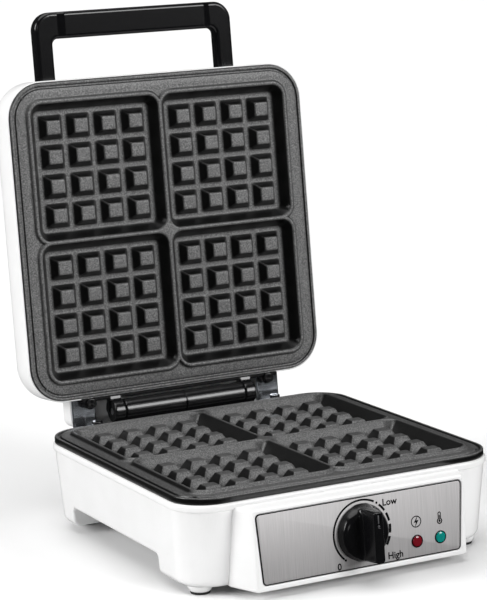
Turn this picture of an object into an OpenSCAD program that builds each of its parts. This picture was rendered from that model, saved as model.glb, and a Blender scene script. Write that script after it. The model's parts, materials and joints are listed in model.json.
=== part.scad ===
// Four-section waffle maker, lid open against its stop.
// Millimetres, +X to the right of the user, +Y to the rear, +Z up, the table at z = 0.
// The lid parts are drawn closed over the base and then turned back about the hinge.

/* [Plates] */
// Width of each cast plate over its lip
plate_w = 260; // [258:0.5:262]
// Depth of each cast plate over its lip
plate_d = 253.5; // [252:0.5:255]
// Height of the lower grid's stud tops above the table
plate_z = 74; // [73:0.5:76]
// Distance between the facing stud tops when the lid is closed
stud_gap = 5.4; // [5.2:0.1:6]
// Depth of a waffle pocket from its rim
pocket_depth = 10.5; // [9.5:0.5:11]
// Studs along each side of a pocket
studs_per_side = 4; // [3:1:4]

/* [Housing] */
// Height of the underside between the legs
underside_z = 22; // [20:0.5:24]
// Height of the legs' flat ends above the table
leg_z = 6; // [5:0.5:7]
// Thickness of the moulded walls
wall = 2.5; // [2:0.1:2.8]
// Overall thickness of the lid shell behind its grid plane
lid_h = 46; // [44:1:50]

/* [Hinge] */
// Angle that the lid opens from closed to its stop
lid_open = 95.35; // [90:0.05:100]
// Distance of the hinge axis behind the plate's rear edge
hinge_back = 13.83; // [13.5:0.01:14.5]
// Height of the hinge axis above the stud tops of the base
hinge_rise = 4.89; // [4.5:0.01:5.2]
// Radius of the black hinge barrel
barrel_r = 9; // [8.5:0.1:9]
// Radius of the steel hinge rod
rod_r = 3; // [2.5:0.1:3.5]

/* [Controls] */
// Lean of the control panel from upright
face_lean = 4; // [2:0.5:5]
// Radius of the thermostat knob's skirt
knob_r = 21; // [19:0.5:22]
// How far the knob's grip stands out from the panel
knob_h = 25; // [20:1:27]
// Radius of each indicator lamp's lens
lamp_r = 4.3; // [4:0.1:4.6]

/* [Handle] */
// Width of the handle over its legs
handle_w = 177; // [170:1:184]
// How far the handle's grip reaches beyond the lid
handle_reach = 54; // [48:1:60]

/* [Hidden] */

$fn = 64;
hull_fn = 32;
eps = 0.01;

// Where the plates sit: the plate centre is moved forward so that the open part is centred on y = 0
plate_y = -21.9;
flange_t = 5;
plate_r = 28;
lip_w = 2.5;
groove_w = 2.5;
groove_d = 1.5;
bead_w = 2.3;
bead_h = 2.5;
pan_depth = 12.5;
pan_inset = 9;

// Pockets and studs
pitch_x = 114.6;
pitch_y = 111.86;
pocket_w = 112.2;
pocket_d = 109.8;
pocket_r = 10;
pocket_draft = 6.4;
floor_r = 6;
stud_pitch_x = 24;
stud_pitch_y = 23.45;
stud_base_x = 20.5;
stud_base_y = 19.3;
stud_top_x = 11.2;
stud_top_y = 10.6;
floor_h = bead_h - pocket_depth;
stud_h = -floor_h;

// Base shell
rim_gap = 1.5;
rim_z = plate_z - 5;
band_z = plate_z - 11.5;
rim_w = plate_w + 2 * rim_gap;
rim_d = plate_d + 2 * rim_gap;
rim_r = plate_r + rim_gap;
wall_step = 1.5;
draft = 4;
front_leg_y = plate_y - 69;
rear_leg_y = plate_y + 82;
rear_leg_x = 92;

// Control block, measured from the plate centre
block_top_z = plate_z - 8.5;
block_half_w = 87.5;
block_root_half_w = 97;
block_root_y = plate_y - 122;
panel_y = plate_y - 146;
panel_z = plate_z - 37.7;
panel_h = 50.6;
panel_top_w = 169.6;
panel_bottom_w = 163.6;
panel_t = 1.2;
lamp_y_on_face = -14;
power_lamp_x = 45.5;
ready_lamp_x = 65.5;
panel_r = 2.5;
panel_gap = 0.35;

// Knob and thermostat, measured out from the control face
shaft_r = 3;
shaft_end = 16;
bush_r = 5;
nut_r = 6.4;
nut_h = 2.5;
thermostat_w = 34;
thermostat_d = 30;
thermostat_h = 21;
shaft_in = 14;
knob_gap = 0.8;
knob_taper = 1.5;
skirt_h = 9;
grip_w = 10;
grip_top_w = 7.5;
grip_foot = 1;
pointer_y0 = 7.5;
pointer_l = 9;
pointer_w = 2.2;
pointer_depth = 1;

// Lamps
stem_r = lamp_r - 0.7;
stem_l = 5;
lens_top_r = lamp_r - 0.8;
lens_h = 1.2;
lamp_body_l = 19;

// Hinge
hinge_y = plate_y + plate_d / 2 + hinge_back;
hinge_z = plate_z + hinge_rise;
barrel_half = 54;
barrel_seam = 0.4;
knuckle_w = 9.5;
knuckle_gap = 0.5;
run_gap = 0.06;
ledge_half_w = 97;
ledge_y = plate_y + 162;
ledge_z = plate_z - 12;
foot_plate_t = 3.4;
foot_plate_half_w = 89;
hinge_screw_x = 80.8;
hinge_screw_y = plate_d / 2 + 5.2;
hinge_boss_r = 5;
hinge_boss_h = 1.4;
hinge_head_r = 4.4;
hinge_head_h = 2.6;
boss_gap = 0.2;
ledge_screw_y = plate_d / 2 + 26;
ledge_screw_x = [16, 46];
bearing_foot_y0 = plate_y + plate_d / 2 + 2.2;
bearing_foot_y1 = ledge_y - 2;
bearing_post_d = 10;
stop_gap = 0.3;

// Lid shell, measured down from its stud tops
lid_w = plate_w + 2.8;
lid_d = plate_d + 2.8;
lid_r = plate_r + 1.4;
lid_rim = 1.5;
lid_side = 22;
lid_inset = 25;
nest_gap = 0.3;
hood_half_w = 95;
hood_end = plate_d / 2 + 25;
hood_mouth = 11;
hood_back = 31;
hood_r = 8;
bracket_x = 84;
bracket_w = 20;
bracket_h = 9;
bracket_t = 2;
bracket_end = plate_d / 2 + 25.5;
dome_steps = 6;
dome_min_r = 8;
hood_lap = 3;

// The hinge axis in the lid's own coordinates
axis_y = hinge_y - plate_y;
axis_h = stud_gap - hinge_rise;

// Height of the bracket's tip when the lid is open, less the stop gap
tip_y = plate_y + bracket_end - hinge_y;
tip_z_in = plate_z + stud_gap + bracket_h - hinge_z;
stop_z = hinge_z - tip_y * sin(lid_open) + tip_z_in * cos(lid_open) - stop_gap;
stop_block_y = plate_y + plate_d / 2 + 20;
stop_block_d = 8;

// Yoke along the lid's rear edge
yoke_y = lid_d / 2 + 0.2;
yoke_t = 2;
yoke_top = -0.5;
yoke_lip_y = plate_d / 2 + 0.45;
yoke_lip_t = 0.9;

// Handle, in the plane of the lid
handle_t = 14;
handle_h = 31;
handle_leg = 15;
handle_bar = 21.5;
handle_root = 104;
handle_end = plate_d / 2 + handle_reach + 1.7;
handle_outer_r = 15;
handle_inner_r = 5;
handle_screw_y = 112;
socket_wall = 2.5;
fit_gap = 0.15;

// Feet
foot_h = 4.6;
foot_list = [[-111, -105], [111, -105], [-103, 108], [103, 108]];
foot_r = 10;
pad_r = 6.2;

// Fasteners and openings in the underside
screw_r = 2;
head_r = 3.6;
head_h = 2.2;
boss_r = 4.5;
plate_boss = [[-57.3, -104], [57.3, -104], [-57.3, 104], [57.3, 104]];
boss_h = 8;
cover_w = 216;
cover_y0 = -66;
cover_y1 = 78;
cover_t = 2.5;
cover_lip = 12;
cover_screw = [[-102, -57], [102, -57], [-102, 69], [102, 69]];

vent_count = 9;
vent_pitch = 9;
vent_w = 3;
vent_l = 46;
vent_x = 44;

// Heating elements and the trays behind them
element_r = 3.2;
element_z = -pan_depth - element_r;
element_x = 80;
element_y = 72;
element_bend = 26;
pin_r = 1.2;
pin_l = 14;
clip_y = [-20, 40];
clip_w = 18;
clip_d = 10;
clip_t = 1.2;
clip_gap = 0.05;
reflector_w = 226;
reflector_d = 220;
reflector_depth = 12;
reflector_r = 14;
reflector_t = 0.8;
reflector_gap = 0.2;
plate_screw_l = 10;
post_cap = 3;
post_top = plate_z - pan_depth - reflector_depth;

// Wiring inside the base
block_w = 36;
block_d = 18;
block_h = 14;
block_y = 84;
block_hole_r = 2.4;
fuse_r = 2.3;
fuse_l = 22;
fuse_y = 20;
wire_pitch = 12;
wire_r = 1.4;
wire_bend = 5;
wire_turn_y = 40;
wire_end_y = -92;
wire_z = 4;

// Cable inlet
gland_x = 62;
gland_z = 40;
gland_r = 7;
gland_bore_r = 3.6;
gland_flange_r = gland_r + 2.5;
gland_flange_h = 5;
gland_in = 2;

WHITE = [0.94, 0.94, 0.93];
BLACK = [0.06, 0.06, 0.07];
COATING = [0.16, 0.15, 0.155];
STEEL = [0.78, 0.78, 0.79];
ZINC = [0.62, 0.63, 0.65];

// ---- 2D and slab helpers ----

module rounded(w, d, r) {
    square([w - 2 * r, d], center = true);
    square([w, d - 2 * r], center = true);
    for (sx = [-1, 1], sy = [-1, 1])
        translate([sx * (w / 2 - r), sy * (d / 2 - r)])
            circle(r = r);
}

module slab(w, d, r, z0, z1) {
    translate([0, 0, z0])
        linear_extrude(height = z1 - z0)
            rounded(w, d, r);
}

// A rounded block that is w0 by d0 at z0 and w1 by d1 at z1
module tapered(w0, d0, r0, z0, w1, d1, z1) {
    translate([0, 0, z0])
        linear_extrude(height = z1 - z0, scale = [w1 / w0, d1 / d0], slices = 1)
            rounded(w0, d0, r0, $fn = hull_fn);
}

module screw(length, r = head_r, h = head_h) {
    cylinder(r = r, h = h);
    translate([0, 0, -length])
        cylinder(r = screw_r, h = length + eps);
}

// A frustum with a rectangular base and top, its top at z = h
module frustum(bx, by, tx, ty, h) {
    polyhedron(
        points = [
            [-bx / 2, -by / 2, 0], [bx / 2, -by / 2, 0], [bx / 2, by / 2, 0], [-bx / 2, by / 2, 0],
            [-tx / 2, -ty / 2, h], [tx / 2, -ty / 2, h], [tx / 2, ty / 2, h], [-tx / 2, ty / 2, h]
        ],
        faces = [[0, 1, 2, 3], [4, 7, 6, 5], [0, 4, 5, 1], [1, 5, 6, 2], [2, 6, 7, 3], [3, 7, 4, 0]]
    );
}

module x_cylinder(r, x0, x1) {
    translate([x0, 0, 0])
        rotate([0, 90, 0])
            cylinder(r = r, h = x1 - x0);
}

module y_cylinder(r, x, y0, y1) {
    translate([x, y0, 0])
        rotate([-90, 0, 0])
            cylinder(r = r, h = y1 - y0);
}

// A quarter of a ring, from start_angle on round its centre
module quarter_bend(x, y, start_angle, bend_r, r) {
    translate([x, y, 0])
        rotate([0, 0, start_angle])
            rotate_extrude(angle = 90)
                translate([bend_r, 0])
                    circle(r = r);
}

// ---- Placing ----

// Children drawn about the plate centre with the stud tops at z = 0, facing up
module at_base() {
    translate([0, plate_y, plate_z])
        children();
}

// Children drawn the same way, turned face down over the base, then opened with the lid
module at_lid() {
    translate([0, hinge_y, hinge_z])
        rotate([-lid_open, 0, 0])
            translate([0, plate_y - hinge_y, plate_z + stud_gap - hinge_z])
                mirror([0, 0, 1])
                    children();
}

// Children drawn on the control face: x right, y up the face, z outward
module on_face() {
    translate([0, panel_y, panel_z])
        rotate([90 - face_lean, 0, 0])
            children();
}

// ---- Cast plates, elements and reflectors, shared by both halves ----

module pocket_outline(grow) {
    for (sx = [-1, 1], sy = [-1, 1])
        translate([sx * pitch_x / 2, sy * pitch_y / 2])
            rounded(pocket_w + 2 * grow, pocket_d + 2 * grow, pocket_r + grow);
}

module pocket_cut() {
    floor_w = pocket_w - 2 * pocket_draft;
    floor_d = pocket_d - 2 * pocket_draft;
    tapered(floor_w, floor_d, floor_r, floor_h, pocket_w, pocket_d, bead_h + eps);
}

module pocket_studs() {
    mid = (studs_per_side - 1) / 2;
    sunk = 0.5;
    for (i = [0 : studs_per_side - 1], j = [0 : studs_per_side - 1])
        translate([(i - mid) * stud_pitch_x, (j - mid) * stud_pitch_y, floor_h - sunk])
            frustum(stud_base_x, stud_base_y, stud_top_x, stud_top_y, stud_h + sunk);
}

module plate_groove() {
    outer = lip_w;
    inner = lip_w + groove_w;
    translate([0, 0, -groove_d])
        linear_extrude(height = groove_d + 1)
            difference() {
                rounded(plate_w - 2 * outer, plate_d - 2 * outer, plate_r - outer);
                rounded(plate_w - 2 * inner, plate_d - 2 * inner, plate_r - inner);
            }
}

module waffle_plate() {
    difference() {
        union() {
            slab(plate_w, plate_d, plate_r, -flange_t, 0);
            slab(plate_w - 2 * pan_inset, plate_d - 2 * pan_inset, plate_r - pan_inset, -pan_depth, -1);
            translate([0, 0, -1])
                linear_extrude(height = 1 + bead_h)
                    pocket_outline(bead_w);
            for (p = plate_boss)
                translate([p[0], p[1], -pan_depth - boss_h])
                    cylinder(r = boss_r, h = boss_h + 1);
        }
        plate_groove();
        for (sx = [-1, 1], sy = [-1, 1])
            translate([sx * pitch_x / 2, sy * pitch_y / 2, 0])
                pocket_cut();
        for (p = plate_boss)
            translate([p[0], p[1], -pan_depth - boss_h - 1])
                cylinder(r = screw_r, h = boss_h);
    }
    for (sx = [-1, 1], sy = [-1, 1])
        translate([sx * pitch_x / 2, sy * pitch_y / 2, 0])
            pocket_studs();
}

// A tubular element bent to a U, with a thinner terminal pin at each end
module heating_element() {
    turn_x = element_x - element_bend;
    turn_y = element_bend - element_y;
    translate([0, 0, element_z]) {
        for (s = [-1, 1]) {
            quarter_bend(s * turn_x, turn_y, s > 0 ? -90 : 180, element_bend, element_r);
            y_cylinder(element_r, s * element_x, turn_y, element_y);
            y_cylinder(pin_r, s * element_x, element_y - 1, element_y + pin_l);
        }
        translate([-turn_x, -element_y, 0])
            rotate([0, 90, 0])
                cylinder(r = element_r, h = 2 * turn_x);
    }
}

// Saddle clips that hold the element up against the plate
module element_clips() {
    clip_h = 2 * element_r + clip_t;
    seat_r = element_r + clip_gap;
    for (s = [-1, 1], y = clip_y)
        translate([s * element_x, y, -pan_depth])
            difference() {
                translate([-clip_w / 2, -clip_d / 2, -clip_h])
                    cube([clip_w, clip_d, clip_h]);
                translate([0, 0, -element_r])
                    rotate([90, 0, 0])
                        cylinder(r = seat_r, h = clip_d + 2, center = true);
                translate([-seat_r, -clip_d / 2 - 1, -element_r])
                    cube([2 * seat_r, clip_d + 2, element_r + 1]);
            }
}

// Pressed tray that closes the space under the element, hung from the plate's bosses
module reflector() {
    top = -pan_depth - reflector_gap;
    low = -pan_depth - reflector_depth;
    difference() {
        union() {
            difference() {
                slab(reflector_w, reflector_d, reflector_r, low, top);
                slab(reflector_w - 2 * reflector_t, reflector_d - 2 * reflector_t,
                     reflector_r - reflector_t, low + reflector_t, top + 1);
            }
            for (p = plate_boss)
                translate([p[0], p[1], low])
                    cylinder(r = boss_r, h = reflector_depth - boss_h - clip_gap);
        }
        for (p = plate_boss)
            translate([p[0], p[1], low - 1])
                cylinder(r = screw_r, h = reflector_depth);
    }
}

// Screws that clamp the tray to the plate; reach is what lies under the tray
module plate_screws(reach) {
    for (p = plate_boss)
        translate([p[0], p[1], -pan_depth - reflector_depth - reach])
            rotate([180, 0, 0])
                screw(plate_screw_l + reach);
}

// Slotted heads that hold the hinge pieces, seen just behind each plate's rear lip
module hinge_screws(length) {
    slot_w = 1;
    slot_l = 5.2;
    for (s = [-1, 1])
        translate([s * hinge_screw_x, hinge_screw_y, -hinge_boss_h])
            difference() {
                screw(length, hinge_head_r, hinge_head_h);
                for (a = [0, 90])
                    rotate([0, 0, a])
                        translate([-slot_l / 2, -slot_w / 2, hinge_head_h - 1.2])
                            cube([slot_l, slot_w, 2]);
            }
}

module lower_plate() {
    color(COATING)
        at_base()
            waffle_plate();
}

module upper_plate() {
    color(COATING)
        at_lid()
            waffle_plate();
}

module lower_element() {
    color(ZINC)
        at_base()
            heating_element();
}

module upper_element() {
    color(ZINC)
        at_lid()
            heating_element();
}

module lower_element_clips() {
    color(ZINC)
        at_base()
            element_clips();
}

module upper_element_clips() {
    color(ZINC)
        at_lid()
            element_clips();
}

module lower_reflector() {
    color(STEEL)
        at_base()
            reflector();
}

module upper_reflector() {
    color(STEEL)
        at_lid()
            reflector();
}

module lower_plate_screws() {
    color(ZINC)
        at_base()
            plate_screws(post_cap);
}

module upper_plate_screws() {
    color(ZINC)
        at_lid()
            plate_screws(0);
}

module base_hinge_screws() {
    color(BLACK)
        at_base()
            hinge_screws(16);
}

module lid_hinge_screws() {
    color(BLACK)
        at_lid()
            hinge_screws(20);
}

// ---- Base shell ----

// The control block's solid, shrunk by inset on every face that meets the air
module control_block(inset) {
    a = tan(face_lean);
    low = leg_z + inset;
    top = block_top_z - inset;
    front_low = panel_y + (low - panel_z) * a + inset;
    front_top = panel_y + (top - panel_z) * a + inset;
    root = block_root_y + 12;
    half_root = block_root_half_w - inset;
    half_front = block_half_w - inset;
    intersection() {
        translate([-plate_w / 2, 0, 0])
            rotate([90, 0, 90])
                linear_extrude(height = plate_w)
                    polygon([[root, low], [front_low, low], [front_top, top], [root, top]]);
        linear_extrude(height = plate_z)
            polygon([
                [-half_root, root], [-half_root, block_root_y], [-half_front, panel_y],
                [-half_front, panel_y - 10], [half_front, panel_y - 10],
                [half_front, panel_y], [half_root, block_root_y], [half_root, root]
            ]);
    }
}

// The base's main tub, from the legs' ends up to the rim band
module tub(inset, low, high) {
    top_w = rim_w - 2 * wall_step - 2 * inset;
    top_d = rim_d - 2 * wall_step - 2 * inset;
    translate([0, plate_y, 0])
        tapered(top_w - 2 * draft, top_d - 2 * draft, rim_r - inset, low, top_w, top_d, high);
}

// Block behind the tub that carries the hinge bearings
module rear_ledge(inset) {
    root = plate_y + 110;
    translate([-ledge_half_w + inset, root, underside_z + inset])
        cube([2 * (ledge_half_w - inset), ledge_y - root - inset, ledge_z - underside_z - 2 * inset]);
}

// The space under the body between the legs, grown by inset for the inner walls
module leg_gaps(inset) {
    high = underside_z + inset;
    translate([-plate_w, front_leg_y - inset, -1])
        cube([2 * plate_w, rear_leg_y - front_leg_y + 2 * inset, high + 1]);
    translate([-rear_leg_x - inset, rear_leg_y - 1, -1])
        cube([2 * (rear_leg_x + inset), plate_d, high + 1]);
}

module base_shell_outer() {
    difference() {
        union() {
            tub(0, leg_z, band_z + eps);
            translate([0, plate_y, 0])
                slab(rim_w, rim_d, rim_r, band_z, rim_z);
            control_block(0);
            rear_ledge(0);
        }
        leg_gaps(0);
    }
}

module base_shell_inner() {
    difference() {
        union() {
            tub(wall, leg_z + wall, band_z + eps);
            translate([0, plate_y, 0])
                slab(plate_w - 2 * wall, plate_d - 2 * wall, plate_r - wall, band_z, rim_z + 1);
            control_block(wall);
            rear_ledge(wall);
        }
        leg_gaps(wall);
    }
}

// Height of the floor under each of the four posts that carry the plate
function post_floor(y) = y < 0 ? leg_z : underside_z;

module base_posts() {
    for (p = plate_boss)
        translate([p[0], plate_y + p[1], post_floor(p[1])])
            cylinder(r = boss_r + 1.5, h = post_top - post_floor(p[1]));
    for (p = cover_screw)
        translate([p[0], plate_y + p[1], underside_z])
            cylinder(r = boss_r, h = 14);
    for (s = [-1, 1])
        translate([s * hinge_screw_x, plate_y + hinge_screw_y, ledge_z - 9])
            cylinder(r = boss_r, h = 8);
}

module base_holes() {
    for (p = plate_boss) {
        translate([p[0], plate_y + p[1], 0])
            cylinder(r = boss_r - 0.5, h = post_top - post_cap);
        translate([p[0], plate_y + p[1], post_top - post_cap - 1])
            cylinder(r = screw_r, h = 6);
    }
    for (p = cover_screw)
        translate([p[0], plate_y + p[1], underside_z - 1])
            cylinder(r = screw_r, h = 11);
    for (s = [-1, 1])
        translate([s * hinge_screw_x, plate_y + hinge_screw_y, 0]) {
            translate([0, 0, ledge_z - 7])
                cylinder(r = screw_r, h = 10);
            translate([0, 0, ledge_z])
                cylinder(r = hinge_boss_r + boss_gap, h = plate_z - ledge_z);
        }
    for (s = [-1, 1], x = ledge_screw_x)
        translate([s * x, plate_y + ledge_screw_y, ledge_z - 5])
            cylinder(r = screw_r, h = 8);
    for (p = foot_list)
        translate([p[0], plate_y + p[1], leg_z - 1])
            cylinder(r = screw_r, h = wall + 2);
    translate([gland_x, ledge_y - 10, gland_z])
        rotate([-90, 0, 0])
            cylinder(r = gland_r, h = 20);
    translate([-cover_w / 2 + cover_lip, plate_y + cover_y0 + cover_lip, underside_z - 1])
        cube([cover_w - 2 * cover_lip, cover_y1 - cover_y0 - 2 * cover_lip, wall + 2]);
}

// What the control face gives up: the panel's recess and the holes behind it
module face_holes() {
    translate([0, 0, -panel_t])
        linear_extrude(height = panel_t + 5)
            panel_outline(panel_gap);
    translate([0, 0, -10])
        cylinder(r = bush_r + 1, h = 12);
    for (x = [power_lamp_x, ready_lamp_x])
        translate([x, lamp_y_on_face, -10])
            cylinder(r = lamp_r, h = 12);
}

module base_housing() {
    color(WHITE)
        difference() {
            union() {
                difference() {
                    base_shell_outer();
                    base_shell_inner();
                }
                base_posts();
            }
            base_holes();
            on_face()
                face_holes();
        }
}

module bottom_cover() {
    color(WHITE)
        translate([0, plate_y, underside_z - cover_t])
            difference() {
                translate([-cover_w / 2, cover_y0, 0])
                    cube([cover_w, cover_y1 - cover_y0, cover_t]);
                for (p = cover_screw)
                    translate([p[0], p[1], -1])
                        cylinder(r = screw_r + 0.2, h = cover_t + 2);
                for (i = [0 : vent_count - 1], s = [-1, 1])
                    translate([s * vent_x - vent_l / 2, (i - (vent_count - 1) / 2) * vent_pitch, -1])
                        cube([vent_l, vent_w, cover_t + 2]);
            }
}

module bottom_screws() {
    color(ZINC)
        for (p = cover_screw)
            translate([p[0], plate_y + p[1], underside_z - cover_t])
                rotate([180, 0, 0])
                    screw(11);
}

// White cups screwed under the legs
module foot_cups() {
    color(WHITE)
        for (p = foot_list)
            translate([p[0], plate_y + p[1], leg_z - foot_h])
                difference() {
                    union() {
                        cylinder(r1 = foot_r - 2.6, r2 = foot_r, h = foot_h);
                        translate([0, 0, foot_h - eps])
                            cylinder(r = screw_r, h = wall);
                    }
                    translate([0, 0, -eps])
                        cylinder(r = pad_r, h = 2);
                }
}

module rubber_feet() {
    color(BLACK)
        for (p = foot_list)
            translate([p[0], plate_y + p[1], 0])
                cylinder(r = pad_r, h = leg_z - foot_h + 2 - eps);
}

// ---- Controls ----

module panel_outline(grow) {
    r = panel_r;
    half_h = panel_h / 2 + grow;
    top = panel_top_w / 2 + grow;
    low = panel_bottom_w / 2 + grow;
    polygon([
        [-low + r, -half_h], [low - r, -half_h], [low, -half_h + r], [top, half_h - r],
        [top - r, half_h], [-top + r, half_h], [-top, half_h - r], [-low, -half_h + r]
    ]);
    for (s = [-1, 1]) {
        translate([s * (low - r), -half_h + r])
            circle(r = r);
        translate([s * (top - r), half_h - r])
            circle(r = r);
    }
}

module front_panel() {
    color(STEEL)
        on_face()
            translate([0, 0, -panel_t])
                linear_extrude(height = panel_t)
                    difference() {
                        panel_outline(0);
                        circle(r = bush_r + 0.1);
                        for (x = [power_lamp_x, ready_lamp_x])
                            translate([x, lamp_y_on_face])
                                circle(r = stem_r + clip_gap);
                    }
}

module knob() {
    color(BLACK)
        on_face()
            translate([0, 0, knob_gap])
                difference() {
                    union() {
                        cylinder(r1 = knob_r, r2 = knob_r - knob_taper, h = skirt_h);
                        intersection() {
                            cylinder(r = knob_r - knob_taper, h = knob_h - knob_gap);
                            rotate([90, 0, 0])
                                linear_extrude(height = 2 * knob_r, center = true)
                                    polygon([
                                        [-grip_w / 2 - grip_foot, 0], [grip_w / 2 + grip_foot, 0],
                                        [grip_w / 2, skirt_h],
                                        [grip_top_w / 2, knob_h - knob_gap],
                                        [-grip_top_w / 2, knob_h - knob_gap], [-grip_w / 2, skirt_h]
                                    ]);
                        }
                    }
                    translate([0, 0, -1])
                        cylinder(r = shaft_r, h = shaft_end - knob_gap + 1);
                    translate([0, 0, -1])
                        cylinder(r = nut_r + 1, h = nut_h + 2);
                    pointer_shape(clip_gap);
                }
}

module pointer_shape(grow) {
    translate([-pointer_w / 2 - grow, pointer_y0 - grow, knob_h - knob_gap - pointer_depth])
        cube([pointer_w + 2 * grow, pointer_l + 2 * grow, pointer_depth]);
}

module knob_pointer() {
    color(ZINC)
        on_face()
            translate([0, 0, knob_gap])
                pointer_shape(0);
}

// Indicator lens: a flat-fronted dome with a stem through the panel
module lens(x) {
    on_face()
        translate([x, lamp_y_on_face, 0]) {
            translate([0, 0, -stem_l])
                cylinder(r = stem_r, h = stem_l + eps);
            cylinder(r1 = lamp_r, r2 = lens_top_r, h = lens_h);
        }
}

module power_lens() {
    color([0.5, 0.06, 0.08])
        lens(power_lamp_x);
}

module ready_lens() {
    color([0.05, 0.5, 0.42])
        lens(ready_lamp_x);
}

module lamp_bodies() {
    color([0.85, 0.85, 0.8])
        on_face()
            for (x = [power_lamp_x, ready_lamp_x])
                translate([x, lamp_y_on_face, -stem_l - lamp_body_l])
                    cylinder(r = stem_r, h = lamp_body_l);
}

// Thermostat: a flat can behind the face, with a bush through the panel
module thermostat_body() {
    color(ZINC)
        on_face()
            difference() {
                union() {
                    translate([-thermostat_w / 2, -thermostat_d / 2, -wall - thermostat_h])
                        cube([thermostat_w, thermostat_d, thermostat_h]);
                    translate([0, 0, -wall - 1])
                        cylinder(r = bush_r, h = wall + 1 + nut_h);
                }
                translate([0, 0, -wall - shaft_in - 1])
                    cylinder(r = shaft_r + run_gap, h = wall + 2 * shaft_in);
            }
}

module thermostat_nut() {
    color(ZINC)
        on_face()
            difference() {
                cylinder(r = nut_r, h = nut_h, $fn = 6);
                translate([0, 0, -1])
                    cylinder(r = bush_r, h = nut_h + 2);
            }
}

module thermostat_shaft() {
    color(STEEL)
        on_face()
            translate([0, 0, -wall - shaft_in])
                cylinder(r = shaft_r, h = wall + shaft_in + shaft_end);
}

// ---- Wiring ----

module terminal_block() {
    color([0.9, 0.9, 0.86])
        translate([-block_w / 2, plate_y + block_y, underside_z + wall])
            difference() {
                cube([block_w, block_d, block_h]);
                for (i = [0 : 2])
                    translate([block_w / 2 + (i - 1) * wire_pitch, block_d / 2, wire_z])
                        cylinder(r = block_hole_r, h = block_h);
            }
}

module thermal_fuse() {
    color([0.8, 0.75, 0.6])
        at_base()
            translate([0, fuse_y, -pan_depth - fuse_r - clip_gap])
                rotate([0, 90, 0])
                    cylinder(r = fuse_r, h = fuse_l, center = true);
}

// A wire that runs forward at x0, steps across at turn_y and runs forward again at x1
module wire(x0, x1, turn_y) {
    y_cylinder(wire_r, x0, turn_y + wire_bend, block_y);
    quarter_bend(x0 - wire_bend, turn_y + wire_bend, -90, wire_bend, wire_r);
    translate([x1 + wire_bend, turn_y, 0])
        rotate([0, 90, 0])
            cylinder(r = wire_r, h = x0 - x1 - 2 * wire_bend);
    quarter_bend(x1 + wire_bend, turn_y - wire_bend, 90, wire_bend, wire_r);
    y_cylinder(wire_r, x1, wire_end_y, turn_y - wire_bend);
}

module internal_wires() {
    color([0.6, 0.12, 0.1])
        translate([0, plate_y, underside_z + wall + wire_z])
            for (i = [0 : 2])
                wire((i - 1) * wire_pitch, 4 * i - 30, wire_turn_y - 6 * i);
}

module cable_gland() {
    color(BLACK)
        translate([gland_x, ledge_y, gland_z])
            rotate([-90, 0, 0])
                difference() {
                    union() {
                        translate([0, 0, -wall - gland_in])
                            cylinder(r = gland_r, h = wall + gland_in + eps);
                        cylinder(r1 = gland_flange_r, r2 = gland_flange_r - 1.5, h = gland_flange_h);
                    }
                    translate([0, 0, -wall - gland_in - 1])
                        cylinder(r = gland_bore_r, h = wall + gland_in + gland_flange_h + 2);
                }
}

// ---- Hinge ----

// Half of the fixed barrel on its foot, drawn for the right-hand side
module bearing() {
    difference() {
        union() {
            translate([0, hinge_y, hinge_z])
                x_cylinder(barrel_r, barrel_seam / 2, barrel_half);
            translate([barrel_seam / 2, hinge_y - bearing_post_d / 2, ledge_z])
                cube([barrel_half - barrel_seam / 2, bearing_post_d, hinge_z - ledge_z]);
            translate([barrel_seam / 2, bearing_foot_y0, ledge_z])
                cube([foot_plate_half_w - barrel_seam / 2, bearing_foot_y1 - bearing_foot_y0, foot_plate_t]);
            translate([hinge_screw_x, plate_y + hinge_screw_y, ledge_z])
                cylinder(r = hinge_boss_r, h = plate_z - hinge_boss_h - ledge_z);
            translate([bracket_x - stop_block_d, stop_block_y, ledge_z])
                cube([foot_plate_half_w - bracket_x + stop_block_d, stop_block_d, stop_z - ledge_z]);
        }
        translate([0, hinge_y, hinge_z])
            x_cylinder(rod_r, -1, barrel_half + 1);
        translate([hinge_screw_x, plate_y + hinge_screw_y, ledge_z - 1])
            cylinder(r = screw_r, h = 20);
        for (x = ledge_screw_x)
            translate([x, plate_y + ledge_screw_y, ledge_z]) {
                translate([0, 0, -1])
                    cylinder(r = screw_r, h = foot_plate_t + 2);
                translate([0, 0, foot_plate_t - head_h])
                    cylinder(r = head_r + boss_gap, h = head_h + 1);
            }
    }
}

module hinge_bearing_right() {
    color(BLACK)
        bearing();
}

module hinge_bearing_left() {
    color(BLACK)
        mirror([1, 0, 0])
            bearing();
}

module hinge_rod() {
    reach = barrel_half + knuckle_gap + knuckle_w - 0.5;
    color(STEEL)
        translate([0, hinge_y, hinge_z])
            x_cylinder(rod_r, -reach, reach);
}

module ledge_screws() {
    color(ZINC)
        for (s = [-1, 1], x = ledge_screw_x)
            translate([s * x, plate_y + ledge_screw_y, ledge_z + foot_plate_t - head_h])
                screw(6);
}

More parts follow.
